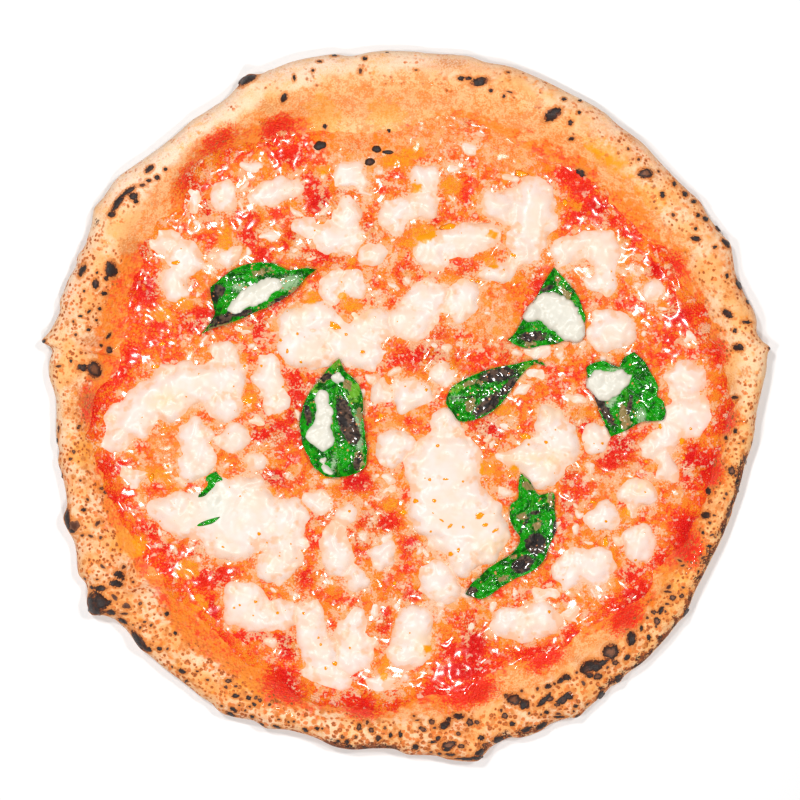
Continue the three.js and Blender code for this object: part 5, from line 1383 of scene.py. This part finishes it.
def leaf_mesh(sides, top):
    """A leaf as a closed loop of points across it for each step along it: over the upper face
    from left to right and back under it. The rows are straight lines between the two edges."""
    left, right = (fall_along(side)[1:-1, None, :] for side in sides)
    share = 0.5 - 0.5 * np.cos(np.linspace(0.0, np.pi, LEAF_ACROSS))
    share = 0.35 * share + 0.65 * np.linspace(0.0, 1.0, LEAF_ACROSS)
    along = np.linspace(0.0, 1.0, LEAF_STEPS)[1:-1]
    plan = left + (right - left) * share[None, :, None]
    jag = 0.35 * swell(plan[..., 0], plan[..., 1], 1.7, 63) * (np.abs(share - 0.5) * 2.0) ** 8
    plan = plan + (jag * np.sign(share - 0.5))[..., None] * [0.7, 0.7]
    z = top(plan[..., 0], plan[..., 1])
    lower = np.dstack([plan, z - LEAF_THICKNESS])[:, -2:0:-1]
    loop = np.concatenate([np.dstack([plan, z]), lower], 1)[:, ::-1]
    ends = np.array([loop[0].mean(0), loop[-1].mean(0)])
    ends[:, :2] = [sides[0][0], sides[0][-1]]
    points, faces = lathed(list(loop), *ends)
    across = np.abs(2.0 * np.concatenate([share, share[-2:0:-1]])[::-1] - 1.0)
    fields = {
        "along": np.concatenate([[0.0, 1.0], np.repeat(along, loop.shape[1])]),
        "across": np.concatenate([[0.0, 0.0], np.tile(across, len(along))]),
        **{name: gather(points[:, 0], points[:, 1], *patches) for name, patches in LEAF_PATCHES.items()},
    }
    return points, faces, fields


BASIL_GREEN = full_light(8, 160, 4)
BASIL_DARK = full_light(0, 88, 0)
BASIL_LIGHT = full_light(80, 176, 30)
BASIL_LIME = full_light(126, 190, 52)
BASIL_TAN = full_light(158, 136, 84)
BASIL_BROWN = full_light(100, 76, 62)
BASIL_BLACK = full_light(40, 34, 32)
BASIL_FILM = full_light(176, 206, 160)
BASIL_CRUMB = full_light(240, 150, 96)
VEIN_COUNT = 9.0
VEIN_SLANT = -1.6

# Side veins slant away from the midrib, and crumbs of tomato stick in crowds.
basil_finish, tree, shader = new_finish("baked basil")
broad, medium = pattern(tree, MOTTLE, 6.0, 3.0), pattern(tree, MOTTLE, 1.9, 6.0)
fine, across = pattern(tree, MOTTLE, 0.7, 8.0), field(tree, "across")
slant = field(tree, "along") * VEIN_COUNT + across * VEIN_SLANT + broad * 0.7
side_vein = ease(calc("ABSOLUTE", calc("FRACT", slant) - 0.5), 0.10, 0.0)
vein = calc("MAXIMUM", side_vein * 0.7, ease(across, 0.075, 0.02))
dried = ragged_share(tree, "brown", medium, 1.2, 0.42, 0.58)
crumbs = ease(pattern(tree, SPECKS, 2.1, 23.0), 0.30, 0.20)
crumbs = crumbs * ease(pattern(tree, MOTTLE, 5.0, 37.0), 0.53, 0.60)
feed(shader, {
    "Base Color": layered(
        blend(ease(broad * 0.5 + medium * 0.5, 0.42, 0.54), BASIL_DARK, BASIL_GREEN),
        (ease(medium, 0.54, 0.74) * 0.4, BASIL_LIGHT),
        (vein * 0.4, BASIL_LIGHT),
        (ragged_share(tree, "lime", medium, 1.8, 0.35, 0.75) * 0.8, BASIL_LIME),
        (ragged_share(tree, "film", fine, 1.4, 0.35, 0.80) * 0.8, BASIL_FILM),
        (ragged_share(tree, "tan", medium, 1.6, 0.42, 0.62), BASIL_TAN),
        (dried, blend(ease(medium, 0.40, 0.62), BASIL_BROWN, BASIL_BLACK)),
        (ragged_share(tree, "black", fine, 1.2, 0.42, 0.62), BASIL_BLACK),
        (crumbs * 0.85, BASIL_CRUMB)),
    "Roughness": dried * 0.35 + 0.18,
    "Specular IOR Level": 0.15,
    "Coat Weight": 0.4,
    "Coat Roughness": 0.08,
    "Normal": relief(pattern(tree, LUMPS, 1.9, 9.0) * 1.3 - vein * 0.45, 0.9),
})


def make_leaf(node, sides, top):
    """The leaf that replaces a node, between its two sides, with its upper side at `top`."""
    points, faces, fields = leaf_mesh(sides, top)
    leaf = make_piece("leaf_of_" + node, points, faces, basil_finish, fields)
    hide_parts(node)


for node, (curl, *sides) in LEAF_SIDES.items():
    make_leaf(node, sides, lambda x, y: leaf_top(curl, sides, x, y))
make_leaf("basil_7", BURIED_LEAF, buried_top)

# ------------------------------------------------------------------- mozzarella on basil
# Slices that melted over the leaves and set in their troughs: small smooth domes, one body
# with thin translucent bits beside them.
ON_LEAF_PITCH = 0.35
ON_LEAF_MARGIN = 11.0
ON_LEAF_SHOULDER = 3.6
ON_LEAF_LEAST = -0.6
ON_LEAF_SKIRT = 0.2
ON_LEAF = {
    "basil_1": (1.5, [(-66.5, 48.8, 8.5, 4.3, 27), (-74.5, 44.2, 4.6, 2.5, 30), (-60.5, 53, 5, 3.6, 25)]),
    "basil_2": (1.6, [(-37.3, 2.4, 3.6, 4.2), (-36, -5, 3.9, 5.4), (-38.8, -12.6, 5.4, 4.4, 30),
                      (-36.6, -16, 4.2, 4.8), (-30.6, 12.2, 3, 2.4), (-35.6, -29, 2.7, 1.5, -25),
                      (-37.2, -24.6, 1.3, 1.1)]),
    "basil_3": (2.2, [(64, 45.6, 6.8, 4.6), (64.5, 39, 5, 5), (56.3, 40.4, 4.4, 3.8, 30),
                      (69.5, 40, 7.6, 6.6, -40), (72.6, 33.6, 6.4, 5.6, -20)]),
    "basil_5": (1.8, [(84.8, 10.6, 4.6, 5), (90, 8.6, 5, 4.4), (95, 11, 4.6, 4.2), (87.5, 5.6, 4.2, 3.6)]),
}
ON_LEAF_PEACH = [(-64, 51.5, 4, 2, 20), (-38.5, -12, 1.6, 1.2)]


def on_leaf_sheet(node, thickness, lumps):
    """The cheese on one leaf: a quarter ellipse up to its thickness, softly uneven, that dives
    into the leaf outside its outline."""
    curl, *sides = LEAF_SIDES[node]
    places = np.array([lump[:2] for lump in lumps])
    low, high = places.min(0) - ON_LEAF_MARGIN, places.max(0) + ON_LEAF_MARGIN
    x, y = np.meshgrid(*(np.arange(*ends, ON_LEAF_PITCH) for ends in zip(low, high)))
    inset = pool_inset(lumps, *pushed(x, y, (0.9, 4.0), (0.5, 1.6), 71), 1.0)
    way = np.clip(inset / ON_LEAF_SHOULDER, 0.0, 1.0)
    z = (leaf_top(curl, sides, x, y) + thickness * np.sqrt(1.0 - (1.0 - way) ** 2)
         + 0.22 * swell(x, y, 3.4, 75) * way + 1.4 * np.minimum(inset, 0.0))
    points, faces, used = cut_sheet(x, y, z, inset, ON_LEAF_LEAST)
    return points, faces, inset.ravel()[used] + 0.9


on_leaf_points, on_leaf_faces, on_leaf_inset, _ = joined(
    *(on_leaf_sheet(node, thickness, lumps) for node, (thickness, lumps) in ON_LEAF.items()))
on_leaf_fields = {
    "inset": on_leaf_inset,
    "peach": gather(*on_leaf_points[:, :2].T, ON_LEAF_PEACH, 1.5),
    "grey": np.ones(len(on_leaf_points)),
}
leaf_cheese = make_piece("mozzarella_over_basil", on_leaf_points, on_leaf_faces,
                         cheese_finish("mozzarella over basil"), on_leaf_fields)
close_beneath(leaf_cheese, ON_LEAF_SKIRT)
over_basil = [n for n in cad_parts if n.startswith("mozzarella_on_basil")]
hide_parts(*sorted(over_basil))

# ---------------------------------------------------------------------------- olive oil
# Oil that ran orange with tomato: flat amber puddles between the pools and beads on the
# cheese, each with a steep wet edge.
OIL_PUDDLES = [
    (-102, 63, 2.5, 1.2), (-108, 27, 2, 1), (-111, 17, 2.2, 1.3), (-94, 26, 1.8, 1.5),
    (-31.5, 35, 3.4, 1.8, -30), (19, 79, 4, 1.6, 15), (47, 66.5, 2.8, 1, -10), (51, 102.5, 3, 1.7),
    (4.3, -42.5, 1.8, 1.2), (32.5, -49, 2.6, 1.7, 30), (35, -53, 1.6, 1.2), (39.5, -55.5, 2, .9, 30),
    (19.5, -53.5, 1.8, .9, 40), (-1, -47.5, 2, 1.5), (4, -4, 2.4, 1, 25), (53, -14, 3, 1.6),
    (48, -10, 3.6, 1.2), (-10, -4, 3.6, 1.7, 50), (-70, 1.5, 3, 1.6), (-36, -31.8, 4, 1.1),
    (122.2, -16, 1.3, 2.2), (88.5, -61, 1.5, 2.8), (-121, -24, 3, 1.1, 25), (-112.9, -32.5, 1.2, 2.2),
    (-31.5, -114.5, 1.4), (49, -87, 3, 1.7), (-14, 59, 1.6, .8), (112.5, -9.5, 1.2, 1.5),
]
OIL_BEADS = [
    (-26.5, 31.2, .9), (-19.2, 23.5, 1.2, 1), (-52.5, 23.8, .8, 1.3), (-55.5, 28.7, .9), (-48, 31.5, .8),
    (-46.5, 19, .8), (-64, 17.3, .8), (-71.5, 17.3, .8), (-54.5, 8, .7), (-73, 30, 1.4, 1),
    (-24, 60.5, .8), (2, 62.5, 1), (29, 55.3, .8), (31.8, 54.7, 1.2, .8), (43.3, 59.8, .6),
    (20.2, 16.2, 1.2, .7, 30), (9, 6.7, .9), (70.5, 89.5, 1.4, 1.9), (46, -31.5, .9), (35.3, -33.2, .7),
    (37.5, -21.5, .6), (12.5, -42.3, 1.2, 1), (14, -18, 1.1, .9), (17.5, -32.8, 1.8, .6), (10.5, -33, .9),
    (25.2, -33.8, .7), (15.8, -51, 1.4, .6, -30), (12, -47.7, .5), (25.3, -54, .8), (11, -56, .7),
    (19.8, -66, 1.5, 1.2, 40), (23.2, -64.2, .9, 1.3), (62, -16.5, 1), (54.3, -17.5, .7),
    (-41, -14, 1.6, .8), (-65, -57, 1), (-81, -62.8, .9, .6, -30), (-25, -47, .8), (-5, -79, 1.1),
    (88.5, -51.5, .8), (105.8, -38.6, .6), (106.5, -25, 1.1), (123, -23.5, .9), (87, -17, .8),
    (126, -10.5, .8), (101.7, -68.7, .8), (82.5, -43, 1.9, .8), (-107, -10, 1.2, .7), (-105.5, -27, .8),
    (-66.5, -87, .9), (-73.5, -88.5, .7), (-76, -89.7, .7), (-45.3, -92.2, .8), (-56.8, -92, .9),
    (-38.7, -103, .7), (-37.7, -106, .8), (-24.8, -107.5, .7), (-35.5, -116.5, .9), (68.7, -88, 1.1),
    (63.4, -91.5, .9),
]
BEAD_COUNT = 260
BEAD_TRIES = 6000
BEAD_SPAN = 132.0
OIL_EDGE = full_light(250, 120, 16)

# Fine beads at random along the edges of the cheese.
draw = np.random.default_rng(81)
spots = draw.uniform(-BEAD_SPAN, BEAD_SPAN, (BEAD_TRIES, 2))
at_edge = np.abs(cheese_inset(*spots.T)[0] - 1.0) < 3.5
spots = spots[at_edge & (sauce_level(*spots.T)[1] > 14.0)][:BEAD_COUNT]
bead_sizes = draw.uniform(0.25, 0.6, BEAD_COUNT)
fine_beads = [*zip(*spots.T, bead_sizes, bead_sizes * draw.uniform(0.55, 1.0, BEAD_COUNT),
                   draw.uniform(0.0, 180.0, BEAD_COUNT))]
oil_points, oil_faces, oil_ways, oil_kinds = joined(
    caps(OIL_PUDDLES, 28, 0.2, bed, 82, ragged=0.13),
    caps(OIL_BEADS, 14, 0.34, bed, 83, ragged=0.12),
    caps(fine_beads, 9, 0.34, bed, 84, ragged=0.12),
)

oil_finish, tree, shader = new_finish("orange oil")
fine = pattern(tree, MOTTLE, 2.0, 44.0)
way = field(tree, "way") + (fine - 0.5) * 0.8
feed(shader, {
    "Base Color": blend(ease(way, 0.45, 1.10), OIL_AMBER, OIL_EDGE),
    "Roughness": fine * 0.1 + 0.06,
    "Normal": relief(pattern(tree, LUMPS, 2.5, 45.0) * 0.6, 0.8),
})

oil = make_piece("oil", oil_points, oil_faces, oil_finish, {"way": oil_ways, "kind": oil_kinds})
